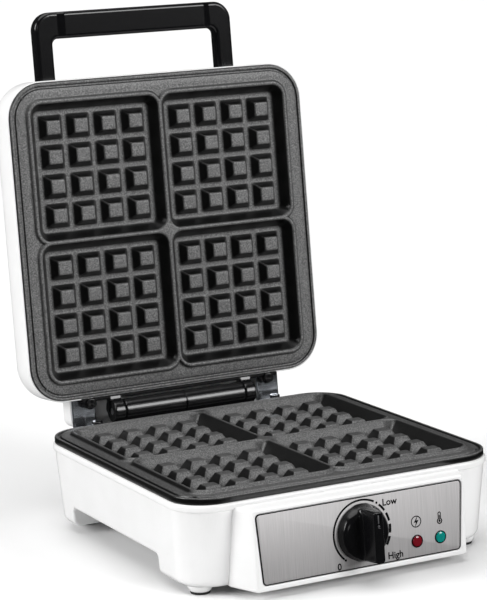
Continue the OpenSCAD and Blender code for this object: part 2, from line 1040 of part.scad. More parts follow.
// Black moulding along the lid's rear edge, with the knuckles that turn on the rod
module hinge_yoke() {
    bar_half = foot_plate_half_w;
    color(BLACK)
        at_lid()
            difference() {
                union() {
                    translate([-bar_half, yoke_y, -bracket_h])
                        cube([2 * bar_half, yoke_t, bracket_h + yoke_top]);
                    translate([-bar_half, yoke_lip_y, yoke_top - yoke_lip_t])
                        cube([2 * bar_half, yoke_y + 1 - yoke_lip_y, yoke_lip_t]);
                    for (s = [-1, 1]) {
                        translate([s * hinge_screw_x, hinge_screw_y, -bracket_h])
                            cylinder(r = hinge_boss_r, h = bracket_h - hinge_boss_h);
                        mirror([s < 0 ? 1 : 0, 0, 0]) {
                            translate([0, axis_y, axis_h])
                                x_cylinder(barrel_r, barrel_half + knuckle_gap,
                                           barrel_half + knuckle_gap + knuckle_w);
                            translate([barrel_half + knuckle_gap, yoke_y, -bracket_h + 0.6])
                                cube([knuckle_w, axis_y - yoke_y, bracket_h - 1.6]);
                        }
                    }
                }
                translate([0, axis_y, axis_h])
                    x_cylinder(rod_r + run_gap, -bar_half, bar_half);
                for (s = [-1, 1])
                    translate([s * hinge_screw_x, hinge_screw_y, 0]) {
                        translate([0, 0, -bracket_h - 1])
                            cylinder(r = screw_r, h = bracket_h + 2);
                        translate([0, 0, -hinge_boss_h])
                            cylinder(r = hinge_head_r + boss_gap, h = hinge_boss_h);
                    }
            }
}

// Dark steel strap on the lid whose tip meets the bearing's foot when the lid is open
module stop_bracket(s) {
    color([0.22, 0.24, 0.26])
        at_lid()
            difference() {
                translate([s * bracket_x - bracket_w / 2, yoke_y, -bracket_h - bracket_t])
                    cube([bracket_w, bracket_end - yoke_y, bracket_t]);
                translate([s * hinge_screw_x, hinge_screw_y, -bracket_h - bracket_t - 1])
                    cylinder(r = screw_r, h = bracket_t + 2);
            }
}

module stop_bracket_left() {
    stop_bracket(-1);
}

module stop_bracket_right() {
    stop_bracket(1);
}

// ---- Lid shell and handle ----

// Outline of the lid at each height: straight sides, then an elliptical shoulder to the back
module lid_dome(inset, low) {
    slab(lid_w - 2 * inset, lid_d - 2 * inset, lid_r - inset, -lid_side - eps, -low);
    depth = lid_h - lid_side - inset;
    hull()
        for (i = [0 : dome_steps]) {
            a = 90 * i / dome_steps;
            in = inset + (lid_inset - inset) * (1 - cos(a));
            translate([0, 0, -lid_side - depth * sin(a)])
                linear_extrude(height = eps)
                    rounded(lid_w - 2 * in, lid_d - 2 * in, max(lid_r - in, dome_min_r), $fn = hull_fn);
        }
}

// Hood behind the lid that covers the hinge, as a profile swept across the lid
module hood(inset) {
    half = hood_half_w - inset;
    y1 = hood_end - inset;
    back = -hood_back + inset;
    mouth = -hood_mouth + (inset > 0 ? 1 : 0);
    r = hood_r - inset;
    y0 = lid_d / 2 - hood_lap + 1.2 * inset;
    translate([-half, 0, 0])
        rotate([90, 0, 90])
            linear_extrude(height = 2 * half) {
                polygon([[y0, mouth], [y0, back], [y1 - r, back], [y1, back + r], [y1, mouth]]);
                translate([y1 - r, back + r])
                    circle(r = r);
            }
}

// Blocks inside the lid's front edge that hold the handle's legs
module handle_sockets() {
    for (s = [-1, 1])
        translate([s * (handle_w - handle_leg) / 2 - handle_leg / 2 - socket_wall,
                   -lid_d / 2 + 2, -handle_h - handle_t + 1.5])
            cube([handle_leg + 2 * socket_wall, lid_d / 2 - handle_root + socket_wall - 2,
                  handle_t + socket_wall - 1.5]);
}

// The handle's U in the plane of the lid, open towards the lid
module handle_outline(grow) {
    half = handle_w / 2 + grow;
    inner = handle_w / 2 - handle_leg - grow;
    y_out = -handle_end - grow;
    y_in = -handle_end + handle_bar + grow;
    root = -handle_root + grow;
    r = handle_outer_r;
    ri = handle_inner_r;
    difference() {
        union() {
            translate([-half + r, y_out])
                square([2 * (half - r), handle_end]);
            translate([-half, y_out + r])
                square([2 * half, root - y_out - r]);
            for (s = [-1, 1])
                translate([s * (half - r), y_out + r])
                    circle(r = r);
        }
        translate([-inner, y_in + ri])
            square([2 * inner, handle_end]);
        translate([-inner + ri, y_in])
            square([2 * (inner - ri), handle_end]);
        for (s = [-1, 1])
            translate([s * (inner - ri), y_in + ri])
                circle(r = ri);
        translate([-plate_w, root])
            square([2 * plate_w, plate_d]);
    }
}

module handle_solid(grow) {
    translate([0, 0, -handle_h - handle_t - grow])
        linear_extrude(height = handle_t + 2 * grow)
            handle_outline(grow);
}

module lid_housing() {
    color(WHITE)
        at_lid()
            difference() {
                union() {
                    difference() {
                        union() {
                            lid_dome(0, lid_rim);
                            hood(0);
                        }
                        lid_dome(wall, 0);
                        hood(wall);
                    }
                    intersection() {
                        handle_sockets();
                        lid_dome(0.5, lid_rim);
                    }
                    for (p = plate_boss)
                        translate([p[0], p[1], -lid_h + 1])
                            cylinder(r = boss_r, h = lid_h - 1 - pan_depth - reflector_depth - 4);
                    for (s = [-1, 1])
                        translate([s * hinge_screw_x, hinge_screw_y, -hood_back + 1])
                            cylinder(r = boss_r, h = hood_back - 1 - bracket_h - bracket_t);
                }
                slab(plate_w + 2 * nest_gap, plate_d + 2 * nest_gap, plate_r + nest_gap, -flange_t, 1);
                handle_solid(fit_gap);
                for (s = [-1, 1]) {
                    translate([s * hinge_screw_x, hinge_screw_y, -bracket_h - bracket_t])
                        cylinder(r = hinge_boss_r + boss_gap, h = bracket_h + bracket_t);
                    translate([s * hinge_screw_x, hinge_screw_y, -hood_back + 4])
                        cylinder(r = screw_r, h = hood_back);
                    translate([s * (handle_w - handle_leg) / 2, -handle_screw_y, -handle_h - 3])
                        cylinder(r = screw_r, h = 8);
                }
            }
}

module handle() {
    color(BLACK)
        at_lid()
            difference() {
                handle_solid(0);
                for (s = [-1, 1])
                    translate([s * (handle_w - handle_leg) / 2, -handle_screw_y, -handle_h - 8])
                        cylinder(r = screw_r, h = 10);
            }
}

module handle_screws() {
    color(ZINC)
        at_lid()
            for (s = [-1, 1])
                translate([s * (handle_w - handle_leg) / 2, -handle_screw_y, -handle_h + socket_wall])
                    screw(10);
}

base_housing();
bottom_cover();
bottom_screws();
foot_cups();
rubber_feet();
front_panel();
knob();
knob_pointer();
power_lens();
ready_lens();
lamp_bodies();
thermostat_body();
thermostat_nut();
thermostat_shaft();
lower_plate();
lower_element();
lower_element_clips();
lower_reflector();
lower_plate_screws();
terminal_block();
thermal_fuse();
internal_wires();
cable_gland();
hinge_bearing_left();
hinge_bearing_right();
hinge_rod();
base_hinge_screws();
ledge_screws();
lid_housing();
hinge_yoke();
stop_bracket_left();
stop_bracket_right();
lid_hinge_screws();
upper_plate();
upper_element();
upper_element_clips();
upper_reflector();
upper_plate_screws();
handle();
handle_screws();
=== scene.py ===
import itertools
import json
import math

import bmesh
import bpy
import numpy as np
from mathutils import Matrix, Vector


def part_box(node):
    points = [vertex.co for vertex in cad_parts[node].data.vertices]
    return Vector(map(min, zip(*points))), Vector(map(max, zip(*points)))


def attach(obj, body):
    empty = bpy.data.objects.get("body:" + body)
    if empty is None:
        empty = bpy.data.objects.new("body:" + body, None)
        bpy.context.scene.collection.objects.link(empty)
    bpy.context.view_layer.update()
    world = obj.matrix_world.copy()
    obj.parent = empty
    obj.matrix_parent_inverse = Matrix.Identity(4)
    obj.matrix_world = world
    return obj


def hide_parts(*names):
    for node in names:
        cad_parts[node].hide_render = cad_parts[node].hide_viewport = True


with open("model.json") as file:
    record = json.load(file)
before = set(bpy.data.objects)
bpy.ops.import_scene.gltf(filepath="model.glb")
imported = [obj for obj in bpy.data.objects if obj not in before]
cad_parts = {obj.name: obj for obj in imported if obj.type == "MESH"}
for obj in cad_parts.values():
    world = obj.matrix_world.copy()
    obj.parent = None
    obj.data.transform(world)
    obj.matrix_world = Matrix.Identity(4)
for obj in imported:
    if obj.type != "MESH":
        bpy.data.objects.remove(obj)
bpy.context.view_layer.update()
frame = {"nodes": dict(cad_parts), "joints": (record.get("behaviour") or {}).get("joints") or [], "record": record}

# ---------------------------------------------------------------- sizes, in millimetres
# Heights in the plates' frames are measured from the stud tops, and y from the plate's centre.

MM = 0.001

# Grid plates. STUD_GAP is between the two plates' stud tops when the lid is closed, and STAR is half
# the width of the flat crossing in the middle.
STUD_GAP = 5.4
PLATE_W = 260.0
PLATE_D = 253.5
PLATE_R = 28.0
BEAD_H = 2.5
BEAD_TOP = 2.1
BEAD_FALL = 1.5
STAR = 12.0
STUD_H = 8.0
FLOOR_H = -STUD_H
FLANGE_T = 5.0
PAN_DEPTH = 12.5
PAN_INSET = 9.0
PITCH = (114.6, 111.86)
POCKET = (112.2, 109.8)
POCKET_R = 10.0
POCKET_DRAFT = 6.4
STUD_PITCH = (24.0, 23.45)
STUD_TOP = (11.2, 10.6)
STUD_SLOPE = STUD_H / 4.5
STUD_CORNER = 1.2
STUD_FOOT = 1.0
EDGE_BLEND = 0.6
FLOOR_BLEND = 1.4
GRID_MARGIN = 5.5
BOSSES = list(itertools.product((-57.3, 57.3), (-104.0, 104.0)))
BOSS_R = 4.5
BOSS_H = 8.0
GRID_STEPS = 30

# Base
WALL = 2.5
RIM_OUT = 1.5
RIM_Z = -5.0
BAND_Z = -10.8
TUB_DRAFT = 4.0
TUB_R = 28.0
LEG_Z = -68.0
UNDERSIDE_Z = -52.0
FRONT_LEG_Y = -69.0
REAR_LEG_Y = 82.0
REAR_LEG_X = 92.0
LEG_EDGE = 6.0
LEDGE_HALF = 97.0
LEDGE_FRONT = 100.0
LEDGE_Y = 162.0
LEDGE_Z = -12.0
POST_TOP = -24.5
FEET = ((-111.0, -105.0), (111.0, -105.0), (-103.0, 108.0), (103.0, 108.0))
FOOT_R = 10.0
GLAND = (62.0, LEDGE_Y, -34.0)
GLAND_BORE = 3.6
GLAND_R = 9.4

# Control block and what it carries. SHAFT_SPACE is the radius and height of the space under the dial.
BLOCK_TOP = -8.5
BLOCK_HALF = 87.5
BLOCK_ROOT_HALF = 97.0
BLOCK_DEPTH = 24.0
BLOCK_R = 2.0
BLOCK_EDGE = 1.2
FACE_LEAN = 4.0
FACE_Y = -146.0
FACE_Z = -37.7
PANEL_H = 50.6
PANEL_TOP_W = 169.6
PANEL_BOTTOM_W = 163.6
PANEL_T = 1.2
PANEL_R = 2.5
LAMPS = ((45.5, -14.0), (65.5, -14.0))
LAMP_R = 4.3
KNOB_R = 21.0
KNOB_H = 25.0
KNOB_GAP = 0.8
SKIRT_TOP = 9.0
GRIP_W = 10.0
GRIP_TOP_W = 7.5
GRIP_SIDE = 1.4
GRIP_EDGE = 0.9
SKIRT_TAPER = 0.42
SKIRT_DOME = 1.6
SKIRT_EDGE = 2.8
SLOT_Y = 12.0
SLOT_HALF = (1.5, 4.9)
SHAFT_SPACE = (7.4, 3.5)
POINTER_Y = 13.0
POINTER_DOT_Y = 8.2
DIAL_R = 23.6

# Hinge. BRACKET_* are the steel straps, and SCREW_* the screws in front of them.
AXIS_Y = PLATE_D / 2 + 13.83
AXIS_Z = 4.89
BARREL_R = 9.0
BARREL_HALF = 54.0
SEAM = 0.2
ROD_R = 3.0
KNUCKLE = (54.5, 64.0)
SCREW_X = 80.8
SCREW_Y = PLATE_D / 2 + 5.2
SCREW_HOLE = 2.1
SCREW_BOSS = 5.0
SCREW_SEAT = -1.4
LEDGE_SCREWS_X = (16, 46)
LEDGE_SCREWS_Y = PLATE_D / 2 + 26
HINGE_HALF = 89.0
HINGE_FOOT = 3.4
HINGE_EDGE = 0.8
POST_HALF = 5.0
YOKE_EDGE = 0.35
BRACKET_X = 84.0
BRACKET_W = 20.0
BRACKET_H = 9.0
BRACKET_T = 2.0
BRACKET_END = PLATE_D / 2 + 25.5
STOP_Y = PLATE_D / 2 + 20

# Lid. LID_OUT is how far its rim stands outside the plate, and LID_INSET how far its shoulder leans in.
LID_OUT = 1.4
LID_RIM = -1.5
LID_SIDE = 22.0
LID_INSET = 25.0
LID_H = 46.0
HOOD_HALF = 95.0
HOOD_MOUTH = -11.0
HOOD_BACK = -31.0
HOOD_START = 121.0
HOOD_END = PLATE_D / 2 + 25.0
HOOD_R = 7.0
HANDLE_HALF = 88.5
HANDLE_TOP = -31.0
HANDLE_T = 14.0
HANDLE_LEG = 15.0
HANDLE_BAR = 21.5
HANDLE_ROOT = -104.0
HANDLE_END = -(PLATE_D / 2 + 55.7)
HANDLE_R = 15.0
HANDLE_INNER_R = 5.0
HANDLE_EDGE = 3.2
GRIP_END = 63.0
GRIP_SLOPE = 5.5
GRIP_RISE = 1.9

joints = {j["name"]: j for j in frame["joints"]}
plate_low, plate_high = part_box("lower_plate")
plate_centre = Vector(((plate_low.x + plate_high.x) / 2, (plate_low.y + plate_high.y) / 2,
                       plate_high.z - BEAD_H * MM))
hinge_point = Vector(joints["lid_hinge"]["pos_m"])
open_angle = math.radians(joints["lid_hinge"]["range_deg"][1])

# Local frames in millimetres: about the plates' centres, with the lid's height turned towards the
# base, and on the control face about the dial's centre
TO_BASE = Matrix.Translation(plate_centre) @ Matrix.Scale(MM, 4)
TO_LID = (Matrix.Translation(hinge_point) @ Matrix.Rotation(-open_angle, 4, "X")
          @ Matrix.Translation(plate_centre + Vector((0, 0, STUD_GAP * MM)) - hinge_point)
          @ Matrix.Diagonal((MM, MM, -MM, 1)))
face_z = Vector(joints["knob_turn"]["axis"]).normalized()
face_x = Vector((1, 0, 0))
face_y = face_z.cross(face_x)
TO_FACE = (Matrix.Translation(Vector(joints["knob_turn"]["pos_m"]))
           @ Matrix((face_x, face_y, face_z)).transposed().to_4x4() @ Matrix.Scale(MM, 4))


# ---------------------------------------------------------------- pieces from swept loops

def add_piece(name, mesh, body, slot, replaces=()):
    """Puts a finished mesh, in metres, into the scene as a piece that rides on a body."""
    piece = bpy.data.objects.new(name, mesh)
    bpy.context.scene.collection.objects.link(piece)
    mesh.materials.append(MATERIALS[slot])
    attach(piece, body)
    if replaces:
        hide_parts(*replaces)
    return piece


def new_piece(name, bm, place, body, slot, replaces=(), sharp=35.0):
    """Turns a bmesh in local millimetres into a piece that rides on a body."""
    bm.transform(place)
    bmesh.ops.recalc_face_normals(bm, faces=bm.faces)
    mesh = bpy.data.meshes.new(name)
    bm.to_mesh(mesh)
    bm.free()
    mesh.shade_smooth()
    mesh.set_sharp_from_angle(angle=math.radians(sharp))
    return add_piece(name, mesh, body, slot, replaces)


def rounded_loop(half_x, half_y, radius, z, steps=10):
    """Points of a rounded rectangle about the origin, anticlockwise, at height z."""
    points = []
    for quarter, (sx, sy) in enumerate(((1, 1), (-1, 1), (-1, -1), (1, -1))):
        for k in range(steps + 1):
            a = math.radians(90 * (quarter + k / steps))
            points.append((sx * (half_x - radius) + radius * math.cos(a),
                           sy * (half_y - radius) + radius * math.sin(a), z))
    return points


def add_loops(bm, loops, close_first=True, close_last=True, wrap=False):
    """Skins a row of loops that have the same number of points; returns the rings of vertices."""
    rings = [[bm.verts.new(p) for p in loop] for loop in loops]
    pairs = list(zip(rings, rings[1:]))
    if wrap:
        pairs.append((rings[-1], rings[0]))
    for low, high in pairs:
        for i in range(len(low)):
            j = (i + 1) % len(low)
            bm.faces.new((low[i], low[j], high[j], high[i]))
    if close_first and not wrap:
        bm.faces.new(list(reversed(rings[0])))
    if close_last and not wrap:
        bm.faces.new(rings[-1])
    return rings


def quarter_round(inset, z, radius, start, steps=5):
    """Profile points (inset, z) round a quarter of a circle about (inset, z), from a start angle."""
    turn = [math.radians(start + 90 * k / steps) for k in range(steps + 1)]
    return [(inset + radius * math.cos(a), z + radius * math.sin(a)) for a in turn]


def circle_loop(radius, z, steps=48):
    """Points of a circle about the origin, anticlockwise, at height z."""
    turn = [2 * math.pi * k / steps for k in range(steps)]
    return [(radius * math.cos(a), radius * math.sin(a), z) for a in turn]


def add_turned(bm, profile, place, steps=48):
    """A turned solid from a profile of (radius, height), closed at both ends."""
    for ring in add_loops(bm, [circle_loop(r, z, steps) for r, z in profile]):
        bmesh.ops.transform(bm, matrix=place, verts=ring)


# ---------------------------------------------------------------- pieces from distance fields
# A field takes arrays x, y, z in millimetres and gives the distance to its surface, negative inside.

# Neighbouring faces that differ by less than the first angle are merged. A face of more than so many
# cells is large, and a vertex whose normal is within the last angle of its own takes it.
MERGE_ANGLE = math.radians(0.6)
LARGE_CELLS = 3
SAME_WAY = math.cos(math.radians(8))


def rect(x, y, half_x, half_y, radius):
    """Distance from a rounded rectangle about the origin."""
    qx = np.abs(x) - half_x + radius
    qy = np.abs(y) - half_y + radius
    return np.hypot(np.maximum(qx, 0), np.maximum(qy, 0)) + np.minimum(np.maximum(qx, qy), 0) - radius


def meet(a, b, radius):
    """What is inside both fields, with the edge between them rounded."""
    u, v = np.maximum(a + radius, 0), np.maximum(b + radius, 0)
    return np.minimum(np.maximum(a, b), -radius) + np.hypot(u, v)


def join(a, b, radius):
    """What is inside either field, with a fillet between them."""
    return -meet(-a, -b, radius)


def span(value, low, high):
    """Distance outside the slab between low and high."""
    return np.maximum(low - value, value - high)


def block(x, y, z, low, high, radius):
    """A box between two corners with every edge rounded."""
    flat = meet(span(x, low[0], high[0]), span(y, low[1], high[1]), radius)
    return meet(flat, span(z, low[2], high[2]), radius)


def sample_near(field, low, counts, cell, coarse=4):
    """The field at every grid point within reach of its surface, and roughly elsewhere."""
    big = cell * coarse
    centres = [a + big * (np.arange(n) + 0.5) for a, n in zip(low, counts)]
    rough = field(*np.meshgrid(*centres, indexing="ij"))
    near = np.abs(rough) < 1.3 * big
    for axis in range(3):
        rough = rough.repeat(coarse, axis)
        near = near.repeat(coarse, axis)
    value = np.pad(rough, ((0, 1),) * 3, mode="edge")
    wanted = np.zeros(value.shape, bool)
    for shift in itertools.product((0, 1), repeat=3):
        wanted[tuple(slice(s, s + n) for s, n in zip(shift, near.shape))] |= near
    places = np.argwhere(wanted) * cell + low
    value[wanted] = field(*places.T)
    return value


def slope_of(field, points, reach=0.02):
    """The field's unit outward normals at points."""
    steps = np.eye(3) * reach
    slope = np.stack([field(*(points + s).T) - field(*(points - s).T) for s in steps], -1)
    return slope / np.maximum(np.linalg.norm(slope, axis=1, keepdims=True), 1e-9)


def skin(field, low, high, cell):
    """Points and quads over a field's surface: one point in each cell that the surface crosses."""
    low = np.array(low, float)
    counts = np.ceil((np.array(high) - low) / cell / 4).astype(int)
    value = sample_near(field, low, counts, cell)
    inside = value < 0
    size = [n - 1 for n in value.shape]
    corners = list(itertools.product((0, 1), repeat=3))
    filled = sum(inside[tuple(slice(c, c + n) for c, n in zip(corner, size))].astype(np.int8)
                 for corner in corners)
    active = (filled > 0) & (filled < 8)
    cells = np.argwhere(active)
    number = np.full(active.shape, -1)
    number[active] = np.arange(len(cells))

    total = np.zeros((len(cells), 3))
    hits = np.zeros((len(cells), 1))
    for start in corners:
        for axis in range(3):
            if start[axis]:
                continue
            step = np.eye(3, dtype=int)[axis]
            a = value[tuple((cells + start).T)]
            b = value[tuple((cells + start + step).T)]
            crossed = (a < 0) != (b < 0)
            share = np.where(crossed, a / np.where(crossed, a - b, 1), 0)
            total += crossed[:, None] * (np.array(start) + share[:, None] * step)
            hits += crossed[:, None]
    points = low + (cells + total / hits) * cell
    for _ in range(3):
        points -= np.clip(field(*points.T)[:, None] * slope_of(field, points), -cell / 2, cell / 2)

    quads = []
    for axis in range(3):
        u, v = (axis + 1) % 3, (axis + 2) % 3
        along = np.eye(3, dtype=int)[axis]
        first = inside[tuple(slice(0, -1) if k == axis else slice(1, -1) for k in range(3))]
        second = inside[tuple(slice(1, None) if k == axis else slice(1, -1) for k in range(3))]
        node = np.argwhere(first != second) + (1 - along)
        back_u, back_v = np.eye(3, dtype=int)[u], np.eye(3, dtype=int)[v]
        around = [node - a * back_u - b * back_v for a, b in ((0, 0), (1, 0), (1, 1), (0, 1))]
        ring = np.stack([number[tuple(corner.T)] for corner in around], -1)
        flip = first[first != second]
        ring[~flip] = ring[~flip][:, ::-1]
        quads.append(ring)
    return points, np.concatenate(quads)


def flatten(mesh, normals, large):
    """Corner normals for a mesh: large flat faces keep their own, and pass it on to what meets them
    smoothly; the rest takes the normals given for the vertices."""
    face_normal = np.array([face.normal for face in mesh.polygons])
    is_large = np.array([face.area for face in mesh.polygons]) > large
    face = np.repeat(np.arange(len(mesh.polygons)), [face.loop_total for face in mesh.polygons])
    vertex = np.array([loop.vertex_index for loop in mesh.loops])
    own = face_normal[face]
    shared = is_large[face] & ((own * normals[vertex]).sum(axis=1) > SAME_WAY)
    normals[vertex[shared]] = own[shared]
    return np.where(is_large[face][:, None], own, normals[vertex])


def field_piece(name, field, low, high, cell, place, body, slot, replaces=()):
    """A piece whose surface is a field's zero level, its flat parts merged into large faces."""
    points, quads = skin(field, low, high, cell)
    bm = bmesh.new()
    verts = [bm.verts.new(p) for p in points]
    for quad in quads:
        bm.faces.new([verts[i] for i in quad])
    bm.normal_update()
    bmesh.ops.dissolve_limit(bm, angle_limit=MERGE_ANGLE, verts=bm.verts, edges=bm.edges)
    bmesh.ops.recalc_face_normals(bm, faces=bm.faces)
    bm.verts.index_update()
    local = np.array([v.co for v in bm.verts])
    turn = np.array(place.to_3x3())
    normals = slope_of(field, local) @ np.linalg.inv(turn)
    normals /= np.linalg.norm(normals, axis=1, keepdims=True)
    bm.transform(place)
    if place.determinant() < 0:
        bmesh.ops.reverse_faces(bm, faces=bm.faces)
    mesh = bpy.data.meshes.new(name)
    bm.to_mesh(mesh)
    bm.free()
    mesh.shade_smooth()
    corners = flatten(mesh, normals, LARGE_CELLS * (cell * MM) ** 2)
    mesh.normals_split_custom_set(corners.tolist())
    return add_piece(name, mesh, body, slot, replaces)


# ---------------------------------------------------------------- materials

# Sizes of the coating's specks and pebbles, in cells per metre, and how far a face turns towards the lit
# axis where the painted light of the pale specks begins and where it is full
SPECKS = 1100
PEBBLES = 900
LIT_FACING_RANGE = (0.55, 0.97)


def principled(name, color, roughness, metallic=0.0, specular=0.5, coat=0.0, coat_roughness=0.1):
    """A new material with its shader's own sockets set; returns both."""
    material = bpy.data.materials.new(name)
    material.use_nodes = True
    shader = material.node_tree.nodes["Principled BSDF"]
    shader.inputs["Base Color"].default_value = (*color, 1)
    shader.inputs["Roughness"].default_value = roughness
    shader.inputs["Metallic"].default_value = metallic
    shader.inputs["Specular IOR Level"].default_value = specular
    shader.inputs["Coat Weight"].default_value = coat
    shader.inputs["Coat Roughness"].default_value = coat_roughness
    return material, shader


def add_noise(material, scale, detail=2.0, stretch=(1, 1, 1)):
    """A noise texture in object space, with scale in cells per metre; returns its output."""
    nodes, links = material.node_tree.nodes, material.node_tree.links
    where = nodes.new("ShaderNodeTexCoord")
    mapping = nodes.new("ShaderNodeMapping")
    mapping.inputs["Scale"].default_value = stretch
    noise = nodes.new("ShaderNodeTexNoise")
    noise.inputs["Scale"].default_value = scale
    noise.inputs["Detail"].default_value = detail
    links.new(where.outputs["Object"], mapping.inputs["Vector"])
    links.new(mapping.outputs["Vector"], noise.inputs["Vector"])
    return noise.outputs["Fac"]


def ramp(material, factor, stops):
    """Maps a factor through colour stops of (position, colour)."""
    node = material.node_tree.nodes.new("ShaderNodeValToRGB")
    while len(node.color_ramp.elements) < len(stops):
        node.color_ramp.elements.new(0.5)
    for element, (position, color) in zip(node.color_ramp.elements, stops):
        element.position = position
        element.color = (*color, 1)
    material.node_tree.links.new(factor, node.inputs["Fac"])
    return node.outputs["Color"]


def spread(material, factor, low, high):
    """Maps a factor from 0..1 to low..high."""
    node = material.node_tree.nodes.new("ShaderNodeMapRange")
    node.inputs["To Min"].default_value = low
    node.inputs["To Max"].default_value = high
    material.node_tree.links.new(factor, node.inputs["Value"])
    return node.outputs["Result"]


def add_bump(material, shader, height, strength, distance):
    """Bumps the shader's normal by a height from 0 to 1, over a distance in metres."""
    node = material.node_tree.nodes.new("ShaderNodeBump")
    node.inputs["Strength"].default_value = strength
    node.inputs["Distance"].default_value = distance
    material.node_tree.links.new(height, node.inputs["Height"])
    material.node_tree.links.new(node.outputs["Normal"], shader.inputs["Normal"])


def white_plastic():
    """Glossy white moulding with a barely visible cloud and orange peel."""
    material, shader = principled("white_plastic", (0.83, 0.83, 0.83), 0.28, coat=0.2,
                                  coat_roughness=0.15)
    links = material.node_tree.links
    cloud = add_noise(material, 40, 3)
    whites = [(0.3, (0.815, 0.815, 0.813)), (0.7, (0.845, 0.845, 0.845))]
    links.new(ramp(material, cloud, whites), shader.inputs["Base Color"])
    grain = add_noise(material, 2600, 2)
    links.new(spread(material, grain, 0.24, 0.36), shader.inputs["Roughness"])
    add_bump(material, shader, grain, 0.05, 0.0002)
    return material


def coating(name, axis, tone):
    """Black non-stick coating with painted light and shade: pale specks, scaled by tone, are full on the faces
    turned towards one lit axis, and the steep faces are painted darker as painted shade, with a smoother film."""
    material, shader = principled(name, (0.05, 0.05, 0.05), 0.45)
    nodes = material.node_tree.nodes
    links = material.node_tree.links
    # Painted light: the more a face turns towards the lit axis, the paler its specks are painted
    place = nodes.new("ShaderNodeTexCoord")
    facing_light = nodes.new("ShaderNodeVectorMath")
    facing_light.operation = "DOT_PRODUCT"
    facing_light.inputs[1].default_value = axis
    links.new(place.outputs["Normal"], facing_light.inputs[0])
    lit_facing = nodes.new("ShaderNodeMapRange")
    lit_facing.inputs["From Min"].default_value = LIT_FACING_RANGE[0]
    lit_facing.inputs["From Max"].default_value = LIT_FACING_RANGE[1]
    links.new(facing_light.outputs["Value"], lit_facing.inputs["Value"])
    speck = add_noise(material, SPECKS, 2)
    pale = [(at, (level * tone,) * 3) for at, level in ((0.36, 0.055), (0.5, 0.1), (0.66, 0.19))]
    lit_specks = ramp(material, speck, pale)
    # Painted shade: the steep faces, turned away from the lit axis, get this nearly black colour
    thin = ramp(material, speck, [(0.4, (0.002, 0.002, 0.002)), (0.7, (0.006, 0.006, 0.006))])
    blend = nodes.new("ShaderNodeMix")
    blend.data_type = "RGBA"
    links.new(lit_facing.outputs["Result"], blend.inputs["Factor"])
    links.new(thin, blend.inputs["A"])
    links.new(lit_specks, blend.inputs["B"])
    links.new(blend.outputs["Result"], shader.inputs["Base Color"])
    pebble = add_noise(material, PEBBLES, 3)
    gloss = nodes.new("ShaderNodeMix")
    links.new(lit_facing.outputs["Result"], gloss.inputs["Factor"])
    links.new(spread(material, pebble, 0.24, 0.36), gloss.inputs["A"])
    links.new(spread(material, pebble, 0.4, 0.54), gloss.inputs["B"])
    links.new(gloss.outputs["Result"], shader.inputs["Roughness"])
    add_bump(material, shader, pebble, 0.3, 0.0003)
    return material


def brushed_steel():
    """Stainless sheet with fine upright brushing."""
    material, shader = principled("brushed_panel", (0.56, 0.55, 0.55), 0.58, metallic=0.6)
    links = material.node_tree.links
    lines = add_noise(material, 1.0, 3, stretch=(2600, 30, 30))
    links.new(ramp(material, lines, [(0.25, (0.42, 0.41, 0.412)), (0.75, (0.56, 0.548, 0.55))]),
              shader.inputs["Base Color"])
    links.new(spread(material, lines, 0.52, 0.64), shader.inputs["Roughness"])
    add_bump(material, shader, lines, 0.06, 0.0001)
    return material


def simple(name, color, roughness, metallic=0.0, scale=1500, wobble=0.08, coat=0.0, bump=0.05,
           specular=0.5):
    """A moulded or plated surface whose tone and roughness vary a little."""
    material, shader = principled(name, color, roughness, metallic, specular, coat)
    links = material.node_tree.links
    cloud = add_noise(material, scale / 12, 3)
    darker = tuple(c * (1 - wobble) for c in color)
    lighter = tuple(min(1.0, c * (1 + wobble)) for c in color)
    links.new(ramp(material, cloud, [(0.3, darker), (0.7, lighter)]), shader.inputs["Base Color"])
    grain = add_noise(material, scale, 2)
    rough = spread(material, grain, roughness * 0.8, min(1.0, roughness * 1.25))
    links.new(rough, shader.inputs["Roughness"])
    add_bump(material, shader, grain, bump, 0.0002)
    return material


# The axes that the two plates' coatings are painted lighter towards, as painted light
BASE_LIT_AXIS = (0.1, -0.6, 0.79)
LID_LIT_AXIS = tuple(TO_LID.to_3x3().normalized() @ Vector((0, 0, 1)))
# The lid's copy of the coating is painted lighter than the base's (tone 1.15 against 0.9): painted light
LID_LIGHTER_COATING = coating("lid_nonstick_coating_painted_lighter", LID_LIT_AXIS, 1.15)
MATERIALS = {
    "housing_white": white_plastic(),
    # The base's copy, painted darker than the lid's as painted shade, paler on faces turned to its front-tilted
    # axis
    "plate_coating": coating("nonstick_coating", BASE_LIT_AXIS, 0.9),
    "brushed_panel": brushed_steel(),
    "black_gloss": simple("black_gloss", (0.004, 0.004, 0.0045), 0.17, bump=0.01, specular=0.32),
    "black_hinge": simple("black_hinge", (0.005, 0.005, 0.0055), 0.22),
    "dark_steel": simple("dark_steel", (0.5, 0.53, 0.57), 0.16, metallic=1.0),
    "plated_steel": simple("plated_steel", (0.6, 0.61, 0.63), 0.3, metallic=1.0),
    "tray_metal": simple("tray_metal", (0.75, 0.75, 0.76), 0.35, metallic=1.0),
    "foot_rubber": simple("foot_rubber", (0.02, 0.02, 0.02), 0.8, scale=900, bump=0.3),
    "lens_red": simple("lens_red", (0.15, 0.006, 0.012), 0.1, coat=0.5, bump=0.0),
    "lens_green": simple("lens_green", (0.003, 0.22, 0.19), 0.1, coat=0.5, bump=0.0),
    "pointer_white": simple("pointer_white", (0.07, 0.07, 0.074), 0.4),
    "insulator": simple("insulator", (0.8, 0.79, 0.73), 0.5),
    "wire_sleeve": simple("wire_sleeve", (0.35, 0.05, 0.04), 0.6),
}
SLOTS = {part["node"]: part["material_slot"] for part in frame["record"]["subparts"]}
for node, piece in frame["nodes"].items():
    piece.data.materials.clear()
    piece.data.materials.append(MATERIALS[SLOTS[node]])
